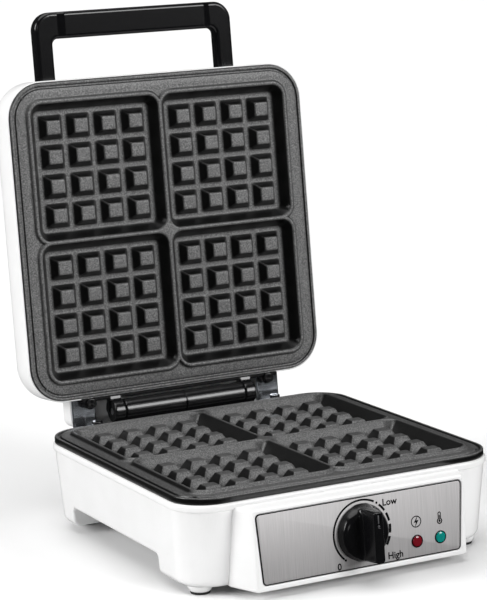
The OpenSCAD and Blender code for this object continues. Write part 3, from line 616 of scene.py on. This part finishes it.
# The lid's plate takes the copy of the coating that is painted lighter
frame["nodes"]["upper_plate"].data.materials[0] = LID_LIGHTER_COATING


# ---------------------------------------------------------------- grid plates

# The lip and the groove inside it, as (distance in from the plate's edge, height)
LIP_R = 0.9
GROOVE = [(2.0, 0.0), (2.3, -0.12), (2.5, -0.5), (2.7, -1.2), (3.1, -1.5), (4.1, -1.5), (4.6, -1.2),
          (4.8, -0.5), (5.0, -0.12), (5.3, 0.0)]


def smooth_min(a, b, r):
    """The lower of two heights, blended where they are within about r of each other."""
    h = np.clip(0.5 + 0.5 * (b - a) / r, 0, 1)
    return b * (1 - h) + a * h - r * h * (1 - h)


def smooth_max(a, b, r):
    """The higher of two heights, blended in the same way."""
    return -smooth_min(-a, -b, r)


def plate_height(x, y):
    """Height of the plate's face above its stud tops: a bead round each of the four pockets, a flat
    crossing where the beads meet, and four rows of four studs in each pocket."""
    level = np.zeros_like(x)
    px = np.abs(x) - PITCH[0] / 2
    py = np.abs(y) - PITCH[1] / 2
    edge = rect(px, py, POCKET[0] / 2, POCKET[1] / 2, POCKET_R)
    bead = smooth_min(level + BEAD_H, BEAD_H - (edge - BEAD_TOP) * BEAD_H / BEAD_FALL, EDGE_BLEND)
    bead = smooth_max(bead, level, EDGE_BLEND)
    bead = np.where(np.maximum(np.abs(x), np.abs(y)) < STAR, level + BEAD_H, bead)
    wall = BEAD_H + edge * (BEAD_H - FLOOR_H) / POCKET_DRAFT
    pocket = smooth_max(wall, level + FLOOR_H, FLOOR_BLEND)
    cell_x = px - (np.clip(np.round(px / STUD_PITCH[0] + 1.5), 0, 3) - 1.5) * STUD_PITCH[0]
    cell_y = py - (np.clip(np.round(py / STUD_PITCH[1] + 1.5), 0, 3) - 1.5) * STUD_PITCH[1]
    beside_x, beside_y = np.abs(cell_x) - STUD_TOP[0] / 2, np.abs(cell_y) - STUD_TOP[1] / 2
    stud = smooth_min(-STUD_SLOPE * smooth_max(beside_x, beside_y, STUD_CORNER), level, EDGE_BLEND)
    pocket = smooth_max(pocket, np.where(edge < 0, stud, -99.0), STUD_FOOT)
    return smooth_min(bead, pocket, EDGE_BLEND)


def grid_lines(edge, centre, step):
    """Positions of grid lines out to an edge, in step with the studs on both sides."""
    count = int((edge - centre) / step)
    back = int(centre / step)
    half = [centre + k * step for k in range(-back, count + 1)]
    half = [v for v in half if 0.3 * step < v < edge - 0.3 * step]
    return np.array([-edge, *(-v for v in reversed(half)), 0.0, *half, edge])


def waffle_plate(name, place, body, node):
    """A cast plate: its gridded middle, then its lip, groove and pan as loops round it."""
    bm = bmesh.new()
    field = [pitch / 2 + pocket / 2 + GRID_MARGIN for pitch, pocket in zip(PITCH, POCKET)]
    xs = grid_lines(field[0], PITCH[0] / 2, STUD_PITCH[0] / GRID_STEPS)
    ys = grid_lines(field[1], PITCH[1] / 2, STUD_PITCH[1] / GRID_STEPS)
    heights = plate_height(*np.meshgrid(xs, ys, indexing="ij"))
    heights[0, :] = heights[-1, :] = 0
    heights[:, 0] = heights[:, -1] = 0
    verts = [[bm.verts.new((x, y, heights[i, j])) for j, y in enumerate(ys)] for i, x in enumerate(xs)]
    for i in range(len(xs) - 1):
        for j in range(len(ys) - 1):
            bm.faces.new((verts[i][j], verts[i + 1][j], verts[i + 1][j + 1], verts[i][j + 1]))
    profile = [(PAN_INSET, -PAN_DEPTH), (PAN_INSET, -FLANGE_T), (0.3, -FLANGE_T), (0.0, 0.3 - FLANGE_T)]
    profile += [(LIP_R - i, z) for i, z in quarter_round(0, -LIP_R, LIP_R, 0)]
    profile += GROOVE
    loops = [rounded_loop(PLATE_W / 2 - i, PLATE_D / 2 - i, PLATE_R - i, z, 12) for i, z in profile]
    outline = add_loops(bm, loops, close_last=False)[-1]
    border = [row[0] for row in verts] + verts[-1][1:]
    border += [row[-1] for row in verts[-2::-1]] + verts[0][-2:0:-1]
    edges = []
    for ring in (outline, border):
        for a, b in zip(ring, ring[1:] + ring[:1]):
            edges.append(bm.edges.get((a, b)) or bm.edges.new((a, b)))
    bmesh.ops.triangle_fill(bm, use_beauty=True, edges=edges)
    for x, y in BOSSES:
        boss = [(BOSS_R, -PAN_DEPTH - BOSS_H), (BOSS_R, 1 - PAN_DEPTH)]
        add_turned(bm, boss, Matrix.Translation((x, y, 0)), 24)
    return new_piece(name, bm, place, body, "plate_coating", [node], sharp=50)


waffle_plate("lower_grid_plate", TO_BASE, "base", "lower_plate")
# The lid's grid plate takes the copy of the coating that is painted lighter
waffle_plate("upper_grid_plate", TO_LID, "lid", "upper_plate").data.materials[0] = LID_LIGHTER_COATING


# ---------------------------------------------------------------- base

def base_tub(x, y, z):
    """The tub with its legs and the ledge behind it, hollow and open at the top."""
    fall = (BAND_Z - z) * TUB_DRAFT / (BAND_Z - LEG_Z)
    body = rect(x, y, PLATE_W / 2 - fall, PLATE_D / 2 - fall, TUB_R)
    body = meet(body, LEG_Z - z, LEG_EDGE)
    ledge = meet(span(x, -LEDGE_HALF, LEDGE_HALF), span(y, LEDGE_FRONT, LEDGE_Y), 5.0)
    ledge = meet(ledge, span(z, UNDERSIDE_Z, LEDGE_Z), 2.0)
    body = join(body, ledge, 1.5)
    middle = span(y, FRONT_LEG_Y, REAR_LEG_Y)
    rear = meet(np.abs(x) - REAR_LEG_X, FRONT_LEG_Y - y, 3.0)
    gap = meet(join(middle, rear, 3.0), z - UNDERSIDE_Z, 4.0)
    body = meet(body, -gap, 2.0)
    shell = np.maximum(np.maximum(body, -(body + WALL)), z - BAND_Z - 1.0)
    for px, py in BOSSES:
        floor = LEG_Z if py < 0 else UNDERSIDE_Z
        post = np.maximum(np.hypot(x - px, y - py) - BOSS_R - 1.5, span(z, floor + 0.5, POST_TOP))
        shell = np.minimum(shell, post)
    return shell


def rim_band():
    """The rounded bead round the top of the tub, which the plate's flange sits on."""
    inner, radius = 4.0, 1.9
    profile = [(inner, BAND_Z)]
    profile += [(radius - i, z) for i, z in quarter_round(0, BAND_Z + radius, radius, -90)]
    profile += [(radius - i, z) for i, z in quarter_round(0, RIM_Z - radius, radius, 0)]
    profile += [(inner, RIM_Z)]
    half_x, half_y, corner = (v + RIM_OUT for v in (PLATE_W / 2, PLATE_D / 2, PLATE_R))
    bm = bmesh.new()
    loops = [rounded_loop(half_x - i, half_y - i, corner - i, z, 14) for i, z in profile]
    add_loops(bm, loops, wrap=True)
    new_piece("base_rim_band", bm, TO_BASE, "base", "housing_white")


def face_loop(top, low, z_low, z_high, radius, depth, steps=6):
    """A rounded outline on the leaning control face, set back by depth; top and low are half widths."""
    points = []
    for quarter, (sx, sy) in enumerate(((1, 1), (-1, 1), (-1, -1), (1, -1))):
        centre_x = sx * ((top if sy > 0 else low) - radius)
        centre_z = z_high - radius if sy > 0 else z_low + radius
        for k in range(steps + 1):
            a = math.radians(90 * (quarter + k / steps))
            x, z = centre_x + radius * math.cos(a), centre_z + radius * math.sin(a)
            points.append((x, FACE_Y + (z - FACE_Z) * math.tan(math.radians(FACE_LEAN)) + depth, z))
    return points


def panel_loop(grow, depth):
    """The steel panel's outline on the control face, grown a little for the recess that holds it."""
    half = PANEL_H / 2 + grow
    return face_loop(PANEL_TOP_W / 2 + grow, PANEL_BOTTOM_W / 2 + grow, FACE_Z - half, FACE_Z + half,
                     max(PANEL_R + grow, 0.5), depth)


def block_loop(grow, depth):
    """The control block's outline, which widens to the rear."""
    half = BLOCK_HALF + (BLOCK_ROOT_HALF - BLOCK_HALF) * min(depth / BLOCK_DEPTH, 1) + grow
    return face_loop(half, half, LEG_Z - grow, BLOCK_TOP + grow, BLOCK_R + grow, depth)


def control_block():
    """The block in front of the tub, with the recess for the steel panel."""
    loops = [block_loop(0, BLOCK_DEPTH + 14), block_loop(0, BLOCK_DEPTH)]
    loops += [block_loop(r - BLOCK_EDGE, BLOCK_EDGE - d) for r, d in quarter_round(0, 0, BLOCK_EDGE, 0)]
    loops += [panel_loop(g, d) for g, d in ((1.5, 0.0), (1.1, 0.15), (0.9, 0.6), (0.9, 1.8), (-8.0, 1.8))]
    bm = bmesh.new()
    add_loops(bm, loops)
    new_piece("control_block_shell", bm, TO_BASE, "base", "housing_white")


def feet():
    """A white cup and a black pad under each corner."""
    cups, pads = bmesh.new(), bmesh.new()
    for x, y in FEET:
        place = Matrix.Translation((x, y, LEG_Z))
        cup = [(5.0, -3.0), (5.0, -3.9), (7.6, -3.9), (8.0, -3.5), (FOOT_R - 0.5, -0.9),
               (FOOT_R - 0.3, 0.6)]
        add_turned(cups, cup, place)
        add_turned(pads, [(6.4, -6.0), (7.1, -5.8), (7.4, -5.2), (7.5, -3.8)], place)
    new_piece("moulded_foot_cups", cups, TO_BASE, "base", "housing_white", ["foot_cups"])
    new_piece("rubber_foot_pads", pads, TO_BASE, "base", "foot_rubber", ["rubber_feet"])


def cable_inlet():
    """The ribbed bush in the rear wall that a lead passes through."""
    profile = [(GLAND_BORE, -WALL - 2), (7.0, -WALL - 2), (7.0, 0), (GLAND_R, 0), (GLAND_R, 0.9),
               (GLAND_R - 0.4, 1.3)]
    for rib in range(2):
        z, r = 1.7 + 1.5 * rib, 8.3 - 0.5 * rib
        profile += [(r, z), (r, z + 0.4), (r + 0.5, z + 0.6), (r + 0.5, z + 1.1)]
    profile += [(7.6, 4.9), (4.4, 5.0), (GLAND_BORE, 4.6)]
    bm = bmesh.new()
    add_loops(bm, [circle_loop(r, z) for r, z in profile], wrap=True)
    place = TO_BASE @ Matrix.Translation(GLAND) @ Matrix.Rotation(math.radians(-90), 4, "X")
    new_piece("cable_inlet_bush", bm, place, "base", "black_hinge", ["cable_gland"])


field_piece("base_tub_shell", base_tub, (-132, -128, LEG_Z - 2), (132, LEDGE_Y + 2, BAND_Z + 3), 1.5,
            TO_BASE, "base", "housing_white", ["base_housing"])
rim_band()
control_block()
feet()
cable_inlet()


# ---------------------------------------------------------------- controls

# Foot and top of the printed marks, above the panel
MARK = (-0.05, 0.06)


def steel_panel():
    """The brushed sheet, its edge rolled over a little so that it catches the light."""
    lean = math.cos(math.radians(FACE_LEAN))
    loops = [[(x, (up - FACE_Z) / lean, z) for x, _, up in panel_loop(grow, 0)]
             for grow, z in ((0, -PANEL_T), (0, -0.35), (-0.12, -0.1), (-0.4, 0.0))]
    bm = bmesh.new()
    add_loops(bm, loops)
    new_piece("steel_panel_sheet", bm, TO_FACE, "base", "brushed_panel", ["front_panel"], sharp=50)


def panel_gap_shadow():
    """A black strip standing in for the shadow in the gap round the steel sheet: painted shade."""
    lean = math.cos(math.radians(FACE_LEAN))
    loops = [[(x, (up - FACE_Z) / lean, z) for x, _, up in panel_loop(grow, 0)]
             for grow, z in ((-0.2, -0.9), (0.4, -0.9), (0.4, 0.08), (-0.2, 0.08))]
    bm = bmesh.new()
    add_loops(bm, loops, wrap=True)
    new_piece("panel_gap_shadow", bm, TO_FACE, "base", "black_hinge", sharp=50)


def add_shape(bm, points):
    """A thin flat mark on the panel."""
    add_loops(bm, [[(*p, h) for p in points] for h in MARK])


def add_bar(bm, start, end, width):
    """A thin straight mark on the panel."""
    along = (Vector(end) - Vector(start)).normalized() * width / 2
    side = Vector((-along.y, along.x))
    add_shape(bm, [Vector(start) - side, Vector(end) - side, Vector(end) + side, Vector(start) + side])


def add_arc(bm, centre, radius, width, start, end):
    """A thin curved mark on the panel, between two angles in degrees."""
    steps = max(3, int(abs(end - start) / 4))
    turn = [math.radians(start + (end - start) * k / steps) for k in range(steps + 1)]
    inner, outer = ([(centre[0] + r * math.cos(a), centre[1] + r * math.sin(a)) for a in turn]
                    for r in (radius - width / 2, radius + width / 2))
    rows = [[bm.verts.new((*p, h)) for p in line] for h in MARK for line in (inner, outer)]
    for k in range(steps):
        for a, b in ((0, 1), (1, 3), (3, 2), (2, 0)):
            bm.faces.new((rows[a][k], rows[a][k + 1], rows[b][k + 1], rows[b][k]))
    for k in (0, -1):
        bm.faces.new([rows[r][k] for r in (0, 1, 3, 2)])


def add_dot(bm, centre, radius):
    """A thin round mark on the panel."""
    add_shape(bm, [(centre[0] + x, centre[1] + y) for x, y, _ in circle_loop(radius, 0, 20)])


def add_word(bm, word, centre, size):
    """Plain lettering, flat on the panel."""
    data = bpy.data.curves.new("word", "FONT")
    data.body = word
    data.size = size
    data.align_x = "CENTER"
    data.align_y = "CENTER"
    data.extrude = 0.055
    data.resolution_u = 3
    data.offset = 0.16
    holder = bpy.data.objects.new("word", data)
    bpy.context.scene.collection.objects.link(holder)
    mesh = bpy.data.meshes.new_from_object(holder)
    mesh.transform(Matrix.Translation((*centre, 0.005)))
    bm.from_mesh(mesh)
    bpy.data.objects.remove(holder)
    bpy.data.curves.remove(data)
    bpy.data.meshes.remove(mesh)


def on_dial(angle):
    """The place on the dial ring at an angle in degrees."""
    return DIAL_R * math.cos(math.radians(angle)), DIAL_R * math.sin(math.radians(angle))


def panel_marks():
    """Dial ring, heat steps, words and the two lamps' signs, printed in black."""
    bm = bmesh.new()
    zero, first, dash, step = 231, 62, 16, 22
    add_arc(bm, (0, 0), DIAL_R, 1.5, zero - 3, first)
    add_dot(bm, on_dial(zero), 0.9)
    add_dot(bm, on_dial(first - 6), 0.9)
    for k in range(4):
        start = first - 12 - step * k
        add_arc(bm, (0, 0), DIAL_R - 0.2, 1.7 + 0.2 * k, start, start - dash)
    add_word(bm, "Low", (24.0, 18.6), 7.0)
    add_word(bm, "High", (26.8, -21.2), 7.0)
    add_word(bm, "0", (-20.2, -22.6), 7.0)

    x, y = LAMPS[0][0], LAMPS[0][1] + 14.5
    for half in (0, 180):
        add_arc(bm, (x, y), 4.0, 0.75, half, half + 180)
    bolt = [(1.3, 4.2), (-2.0, -0.6), (-0.2, -0.6), (-1.2, -4.2), (2.1, 0.9), (0.3, 0.9)]
    add_shape(bm, [(x + a, y + b) for a, b in bolt])
    x = LAMPS[1][0]
    add_arc(bm, (x, y - 2.6), 1.85, 0.9, 120, 420)
    add_arc(bm, (x, y + 3.0), 1.0, 0.75, 0, 180)
    for side in (-1.0, 1.0):
        add_bar(bm, (x + side, y - 1.2), (x + side, y + 3.0), 0.75)
    add_dot(bm, (x, y - 2.6), 0.9)
    add_bar(bm, (x, y - 2.2), (x, y + 1.8), 0.7)
    new_piece("panel_marks", bm, TO_FACE, "base", "black_hinge", sharp=30)


def lamps():
    """A domed lens in a dark ring for each lamp."""
    rings = bmesh.new()
    looks = (("red_lamp_lens", "lens_red", "power_lens"), ("green_lamp_lens", "lens_green", "ready_lens"))
    seat = LAMP_R - 0.2
    dome = [(seat, -5.0), (seat, 0.15), (seat - 0.15, 0.45), (seat - 0.6, 0.75), (seat - 1.3, 0.95),
            (seat - 2.2, 1.08), (0.5, 1.15)]
    ring = [(seat + w, z) for w, z in ((0.7, -0.3), (0.7, 0.3), (0.55, 0.55), (0.3, 0.6), (0.08, 0.45),
                                       (0.03, 0.1), (0.03, -0.3))]
    for (x, y), (name, slot, node) in zip(LAMPS, looks):
        lens = bmesh.new()
        add_turned(lens, dome, Matrix.Translation((x, y, 0)))
        new_piece(name, lens, TO_FACE, "base", slot, [node])
        loops = [[(x + a, y + b, c) for a, b, c in circle_loop(r, z)] for r, z in ring]
        add_loops(rings, loops, wrap=True)
    new_piece("lamp_rings", rings, TO_FACE, "base", "black_gloss")


def knob_shape(x, y, z):
    """The dial: a domed skirt and a tapered grip right across it, with a slot for the pointer."""
    radial = np.hypot(x, y)
    taper = (z - KNOB_GAP) * SKIRT_TAPER
    crown = z - SKIRT_TOP - 0.6 + (radial / KNOB_R) ** 2 * SKIRT_DOME
    skirt = meet(radial - KNOB_R + taper, crown, SKIRT_EDGE)
    half = GRIP_W / 2 - (GRIP_W - GRIP_TOP_W) / 2 * (z - SKIRT_TOP) / (KNOB_H - SKIRT_TOP)
    grip = meet(np.abs(x) - half, radial - KNOB_R + 0.9 + 0.06 * z, GRIP_SIDE)
    grip = meet(grip, z - KNOB_H, GRIP_EDGE)
    body = join(skirt, grip, 3.0)
    slot = meet(rect(x, y - SLOT_Y, *SLOT_HALF, 0.5), KNOB_H - 0.9 - z, 0.2)
    bore = np.maximum(radial - SHAFT_SPACE[0], z - SHAFT_SPACE[1])
    return np.maximum(np.maximum(meet(body, -slot, 0.4), KNOB_GAP - z), -bore)


def pointer():
    """The pointer in the grip's slot: a sunk bar with a dot under it."""
    low, high = KNOB_H - 1.2, KNOB_H - 0.1
    bm = bmesh.new()
    loops = [[(x, y + POINTER_Y, z) for x, y, _ in rounded_loop(0.5 - ease, 3.1 - ease, 0.3, 0, 3)]
             for z, ease in ((low, 0), (high - 0.6, 0), (high - 0.5, 0.15))]
    add_loops(bm, loops)
    dot = [(0.9, low), (0.9, high - 0.2), (0.7, high)]
    add_turned(bm, dot, Matrix.Translation((0, POINTER_DOT_Y, 0)), 20)
    new_piece("dial_pointer", bm, TO_FACE, "knob", "pointer_white", ["knob_pointer"])


steel_panel()
# A black strip as painted shade in the gap round the panel
panel_gap_shadow()
panel_marks()
lamps()
field_piece("dial_knob", knob_shape, (-22, -22, 0), (22, 22, 26), 0.5, TO_FACE, "knob", "black_gloss",
            ["knob"])
pointer()


# ---------------------------------------------------------------- hinge

# The axis in the lid's frame, and the height at which the open lid's straps rest on their stops
YOKE_AXIS = STUD_GAP - AXIS_Z
STRAP_REACH = BRACKET_END - AXIS_Y
STRAP_LEVEL = YOKE_AXIS + BRACKET_H
STOP_Z = AXIS_Z - STRAP_REACH * math.sin(open_angle) + STRAP_LEVEL * math.cos(open_angle) - 0.3


def bearing_shape(x, y, z):
    """Half of the fixed barrel on its foot, drawn for the right-hand side."""
    across, up = y - AXIS_Y, z - AXIS_Z
    barrel = meet(np.hypot(across, up) - BARREL_R, x - BARREL_HALF, HINGE_EDGE)
    post = block(x, across, z, (-5, -POST_HALF, LEDGE_Z), (BARREL_HALF, POST_HALF, AXIS_Z), HINGE_EDGE)
    body = join(barrel, post, 2.5)
    foot = block(x, y, z, (-5, AXIS_Y - 11.6, LEDGE_Z), (HINGE_HALF, LEDGE_Y - 2, LEDGE_Z + HINGE_FOOT),
                 HINGE_EDGE)
    body = join(body, foot, 2.0)
    screw = np.hypot(x - SCREW_X, y - SCREW_Y)
    boss = meet(screw - SCREW_BOSS, span(z, LEDGE_Z, SCREW_SEAT), 0.5)
    stop = block(x, y, z, (BRACKET_X - 8, STOP_Y, LEDGE_Z), (HINGE_HALF, STOP_Y + 8, STOP_Z), HINGE_EDGE)
    body = join(join(body, boss, 1.5), stop, 1.5)
    hole = np.minimum(np.hypot(across, up) - ROD_R - 0.05, screw - SCREW_HOLE)
    for screw_x in LEDGE_SCREWS_X:
        screw = np.hypot(x - screw_x, y - LEDGE_SCREWS_Y)
        sunk = np.maximum(screw - 3.8, LEDGE_Z + 1.2 - z)
        hole = np.minimum(hole, np.minimum(screw - SCREW_HOLE, sunk))
    return meet(np.maximum(body, -hole), SEAM - x, 0.4)


def left_bearing_shape(x, y, z):
    """The other half, mirrored."""
    return bearing_shape(-x, y, z)


def yoke_shape(x, y, z):
    """The black moulding along the lid's rear edge, with a knuckle and a screw boss at each end."""
    side = np.abs(x)
    bar = block(x, y, z, (-HINGE_HALF, 128.35, -BRACKET_H), (HINGE_HALF, 130.35, -0.5), YOKE_EDGE)
    lip = block(x, y, z, (-HINGE_HALF, 127.2, -1.4), (HINGE_HALF, 130.0, -0.5), YOKE_EDGE)
    across, up = y - AXIS_Y, z - YOKE_AXIS
    knuckle = meet(np.hypot(across, up) - BARREL_R, span(side, *KNUCKLE), 1.0)
    web = block(side, y, z, (KNUCKLE[0], 129, -8.4), (KNUCKLE[1], AXIS_Y, -1.0), 1.0)
    screw = np.hypot(side - SCREW_X, y - SCREW_Y)
    boss = meet(screw - SCREW_BOSS, span(z, -BRACKET_H, SCREW_SEAT), 0.5)
    body = join(np.minimum(bar, lip), join(knuckle, web, 3.0), 1.5)
    body = join(body, boss, 1.2)
    hole = np.minimum(screw - SCREW_HOLE, np.maximum(screw - 4.6, SCREW_SEAT - z))
    return np.maximum(np.maximum(body, ROD_R + 0.06 - np.hypot(across, up)), -hole)


def strap_shape(x, y, z):
    """A steel strap beside the hinge, with its edges eased and a hole for the screw."""
    low, high = BRACKET_X - BRACKET_W / 2, BRACKET_X + BRACKET_W / 2
    body = block(np.abs(x), y, z, (low, 128.4, -BRACKET_H - BRACKET_T), (high, BRACKET_END, -BRACKET_H),
                 0.5)
    return meet(body, SCREW_HOLE - np.hypot(np.abs(x) - SCREW_X, y - SCREW_Y), 0.3)


def screws_shape(x, y, z):
    """The two cross-head screws sunk into the hinge bosses."""
    u, v = np.abs(x) - SCREW_X, y - SCREW_Y
    radial = np.hypot(u, v)
    head = meet(radial - 4.3, span(z, -1.35, 1.1), 0.9)
    shank = np.maximum(radial - 2.0, span(z, -16.0, 0.0))
    cross = np.minimum(rect(u, v, 2.6, 0.55, 0.1), rect(u, v, 0.55, 2.6, 0.1))
    return np.maximum(np.minimum(head, shank), -np.maximum(cross, -0.3 - z))


field_piece("barrel_right", bearing_shape, (-1, 127, -13), (HINGE_HALF + 1, LEDGE_Y + 1, 15), 0.9,
            TO_BASE, "base", "black_hinge", ["hinge_bearing_right"])
field_piece("barrel_left", left_bearing_shape, (-HINGE_HALF - 1, 127, -13), (1, LEDGE_Y + 1, 15), 0.9,
            TO_BASE, "base", "black_hinge", ["hinge_bearing_left"])
field_piece("yoke_moulding", yoke_shape, (-HINGE_HALF - 1, 126, -10), (HINGE_HALF + 1, 151, 11), 0.8,
            TO_LID, "lid", "black_hinge", ["hinge_yoke"])
for node, x_range in (("stop_bracket_left", (-95, -73)), ("stop_bracket_right", (73, 95))):
    field_piece(node.replace("stop_bracket", "stop_strap"), strap_shape, (x_range[0], 127, -12),
                (x_range[1], 154, -8), 0.6, TO_LID, "lid", "dark_steel", [node])
for node, place, body in (("base_hinge_screws", TO_BASE, "base"), ("lid_hinge_screws", TO_LID, "lid")):
    field_piece(node.replace("hinge_screws", "cross_head_screws"), screws_shape, (-87, 126, -17),
                (87, 138, 2), 0.4, place, body, "black_hinge", [node])


# ---------------------------------------------------------------- lid and handle

def lid_shell():
    """The lid's hollow shell: a thin rim round the plate, straight sides and an elliptical shoulder."""
    half_x, half_y, corner = (v + LID_OUT for v in (PLATE_W / 2, PLATE_D / 2, PLATE_R))

    def shoulder(inset, steps):
        turn = [math.radians(90 * k / steps) for k in range(steps + 1)]
        depth, reach = LID_H - LID_SIDE - inset, LID_INSET - inset
        return [(inset + reach * (1 - math.cos(a)), -LID_SIDE - depth * math.sin(a)) for a in turn]

    profile = list(reversed(shoulder(WALL, 8)))
    profile += [(WALL, -FLANGE_T - 0.2), (1.1, -FLANGE_T - 0.2), (1.1, -2.0), (0.95, -1.65),
                (0.55, LID_RIM), (0.15, -1.65), (0.0, -2.1)]
    profile += shoulder(0, 14)
    loops = [rounded_loop(half_x - i, half_y - i, corner - i * 0.8, z, 14) for i, z in profile]
    bm = bmesh.new()
    add_loops(bm, loops)
    new_piece("lid_shell", bm, TO_LID, "lid", "housing_white", ["lid_housing"], sharp=40)


def hood_shape(x, y, z):
    """The hood behind the lid that covers the hinge, hollow and open towards the base."""
    across = meet(span(x, -HOOD_HALF, HOOD_HALF), span(z, HOOD_BACK, HOOD_MOUTH + 20), HOOD_R)
    body = meet(across, span(y, HOOD_START - 11, HOOD_END), HOOD_R)
    return np.maximum(np.maximum(body, -(body + WALL)), np.maximum(z - HOOD_MOUTH, HOOD_START - y))


def handle_shape(x, y, z):
    """The handle's U, its grip standing a little proud of the corners."""
    outer = rect(x, y - HANDLE_END - 100, HANDLE_HALF, 100, HANDLE_R)
    inner = rect(x, y - HANDLE_END - HANDLE_BAR - 100, HANDLE_HALF - HANDLE_LEG, 100, HANDLE_INNER_R)
    outline = np.maximum(meet(outer, -inner, 0.1), y - HANDLE_ROOT)
    drop = np.clip((np.abs(x) - GRIP_END) / GRIP_SLOPE, 0, 1) * GRIP_RISE
    return meet(outline, span(z, HANDLE_TOP - HANDLE_T, HANDLE_TOP - drop), HANDLE_EDGE)


lid_shell()
field_piece("hinge_hood", hood_shape, (-HOOD_HALF - 1, HOOD_START - 2, HOOD_BACK - 1),
            (HOOD_HALF + 1, HOOD_END + 1, HOOD_MOUTH + 2), 1.2, TO_LID, "lid", "housing_white")
field_piece("handle_grip", handle_shape, (-90, HANDLE_END - 1, HANDLE_TOP - HANDLE_T - 1),
            (90, HANDLE_ROOT + 1, HANDLE_TOP + 1), 0.9, TO_LID, "lid", "black_gloss", ["handle"])


# ---------------------------------------------------------------- floor, light and camera

# Strength of the surroundings in front of the object and behind it, and where they change over
WORLD_FRONT = 0.06
WORLD_REAR = 0.6
WORLD_FADE = (0.3, 0.85)
# name, direction towards the light, its width in degrees, strength
LIGHTS = [
    ("key_softbox", (0.48, -0.79, 0.42), 27, 2.0),
    ("top_softbox", (-0.1, 0.1, 1.0), 60, 2.25),
    ("left_softbox", (-0.9, 0.2, 0.4), 30, 2.35),
    ("front_fill", (-0.5, -0.8, 0.3), 14, 0.12),
]
CAMERA_LENS = 145.49
CAMERA_SENSOR = 36
CAMERA_FROM_PLATE = Vector((-0.84636, -1.60152, 0.44990))
CAMERA_RIGHT = Vector((0.88397, -0.46640, -0.03279))
CAMERA_UP = Vector((0.11447, 0.14790, 0.98235))


def studio():
    """A pale floor, a dim sky that is brighter behind the object, and the soft lights."""
    bpy.ops.mesh.primitive_plane_add(size=60, location=(0, 10, 0))
    floor = bpy.context.object
    floor.name = "floor"
    material, shader = principled("floor_white", (0.82, 0.82, 0.82), 0.9, specular=0.1)
    cloud = add_noise(material, 2, 2)
    tones = ramp(material, cloud, [(0.3, (0.81, 0.81, 0.81)), (0.7, (0.83, 0.83, 0.83))])
    material.node_tree.links.new(tones, shader.inputs["Base Color"])
    floor.data.materials.append(material)
    floor.visible_glossy = False

    world = bpy.data.worlds.new("studio")
    bpy.context.scene.world = world
    world.use_nodes = True
    nodes, links = world.node_tree.nodes, world.node_tree.links
    where = nodes.new("ShaderNodeTexCoord")
    parts = nodes.new("ShaderNodeSeparateXYZ")
    fade = nodes.new("ShaderNodeMapRange")
    fade.inputs["From Min"].default_value = WORLD_FADE[0]
    fade.inputs["From Max"].default_value = WORLD_FADE[1]
    fade.inputs["To Min"].default_value = WORLD_FRONT
    fade.inputs["To Max"].default_value = WORLD_REAR
    links.new(where.outputs["Generated"], parts.inputs["Vector"])
    links.new(parts.outputs["Y"], fade.inputs["Value"])
    links.new(fade.outputs["Result"], nodes["Background"].inputs["Strength"])

    for name, towards, width, strength in LIGHTS:
        data = bpy.data.lights.new(name, "SUN")
        data.angle = math.radians(width)
        data.energy = strength
        light = bpy.data.objects.new(name, data)
        light.rotation_euler = Vector(towards).to_track_quat("Z", "Y").to_euler()
        bpy.context.scene.collection.objects.link(light)


def camera():
    """The camera at the photograph's angle."""
    data = bpy.data.cameras.new("camera")
    data.lens = CAMERA_LENS
    data.sensor_width = CAMERA_SENSOR
    data.clip_end = 100
    view = bpy.data.objects.new("camera", data)
    place = plate_centre + CAMERA_FROM_PLATE
    turn = Matrix((CAMERA_RIGHT, CAMERA_UP, CAMERA_RIGHT.cross(CAMERA_UP))).transposed()
    view.matrix_world = Matrix.Translation(place) @ turn.to_4x4()
    bpy.context.scene.collection.objects.link(view)
    bpy.context.scene.camera = view


studio()
camera()
bpy.context.scene.view_settings.view_transform = "Standard"
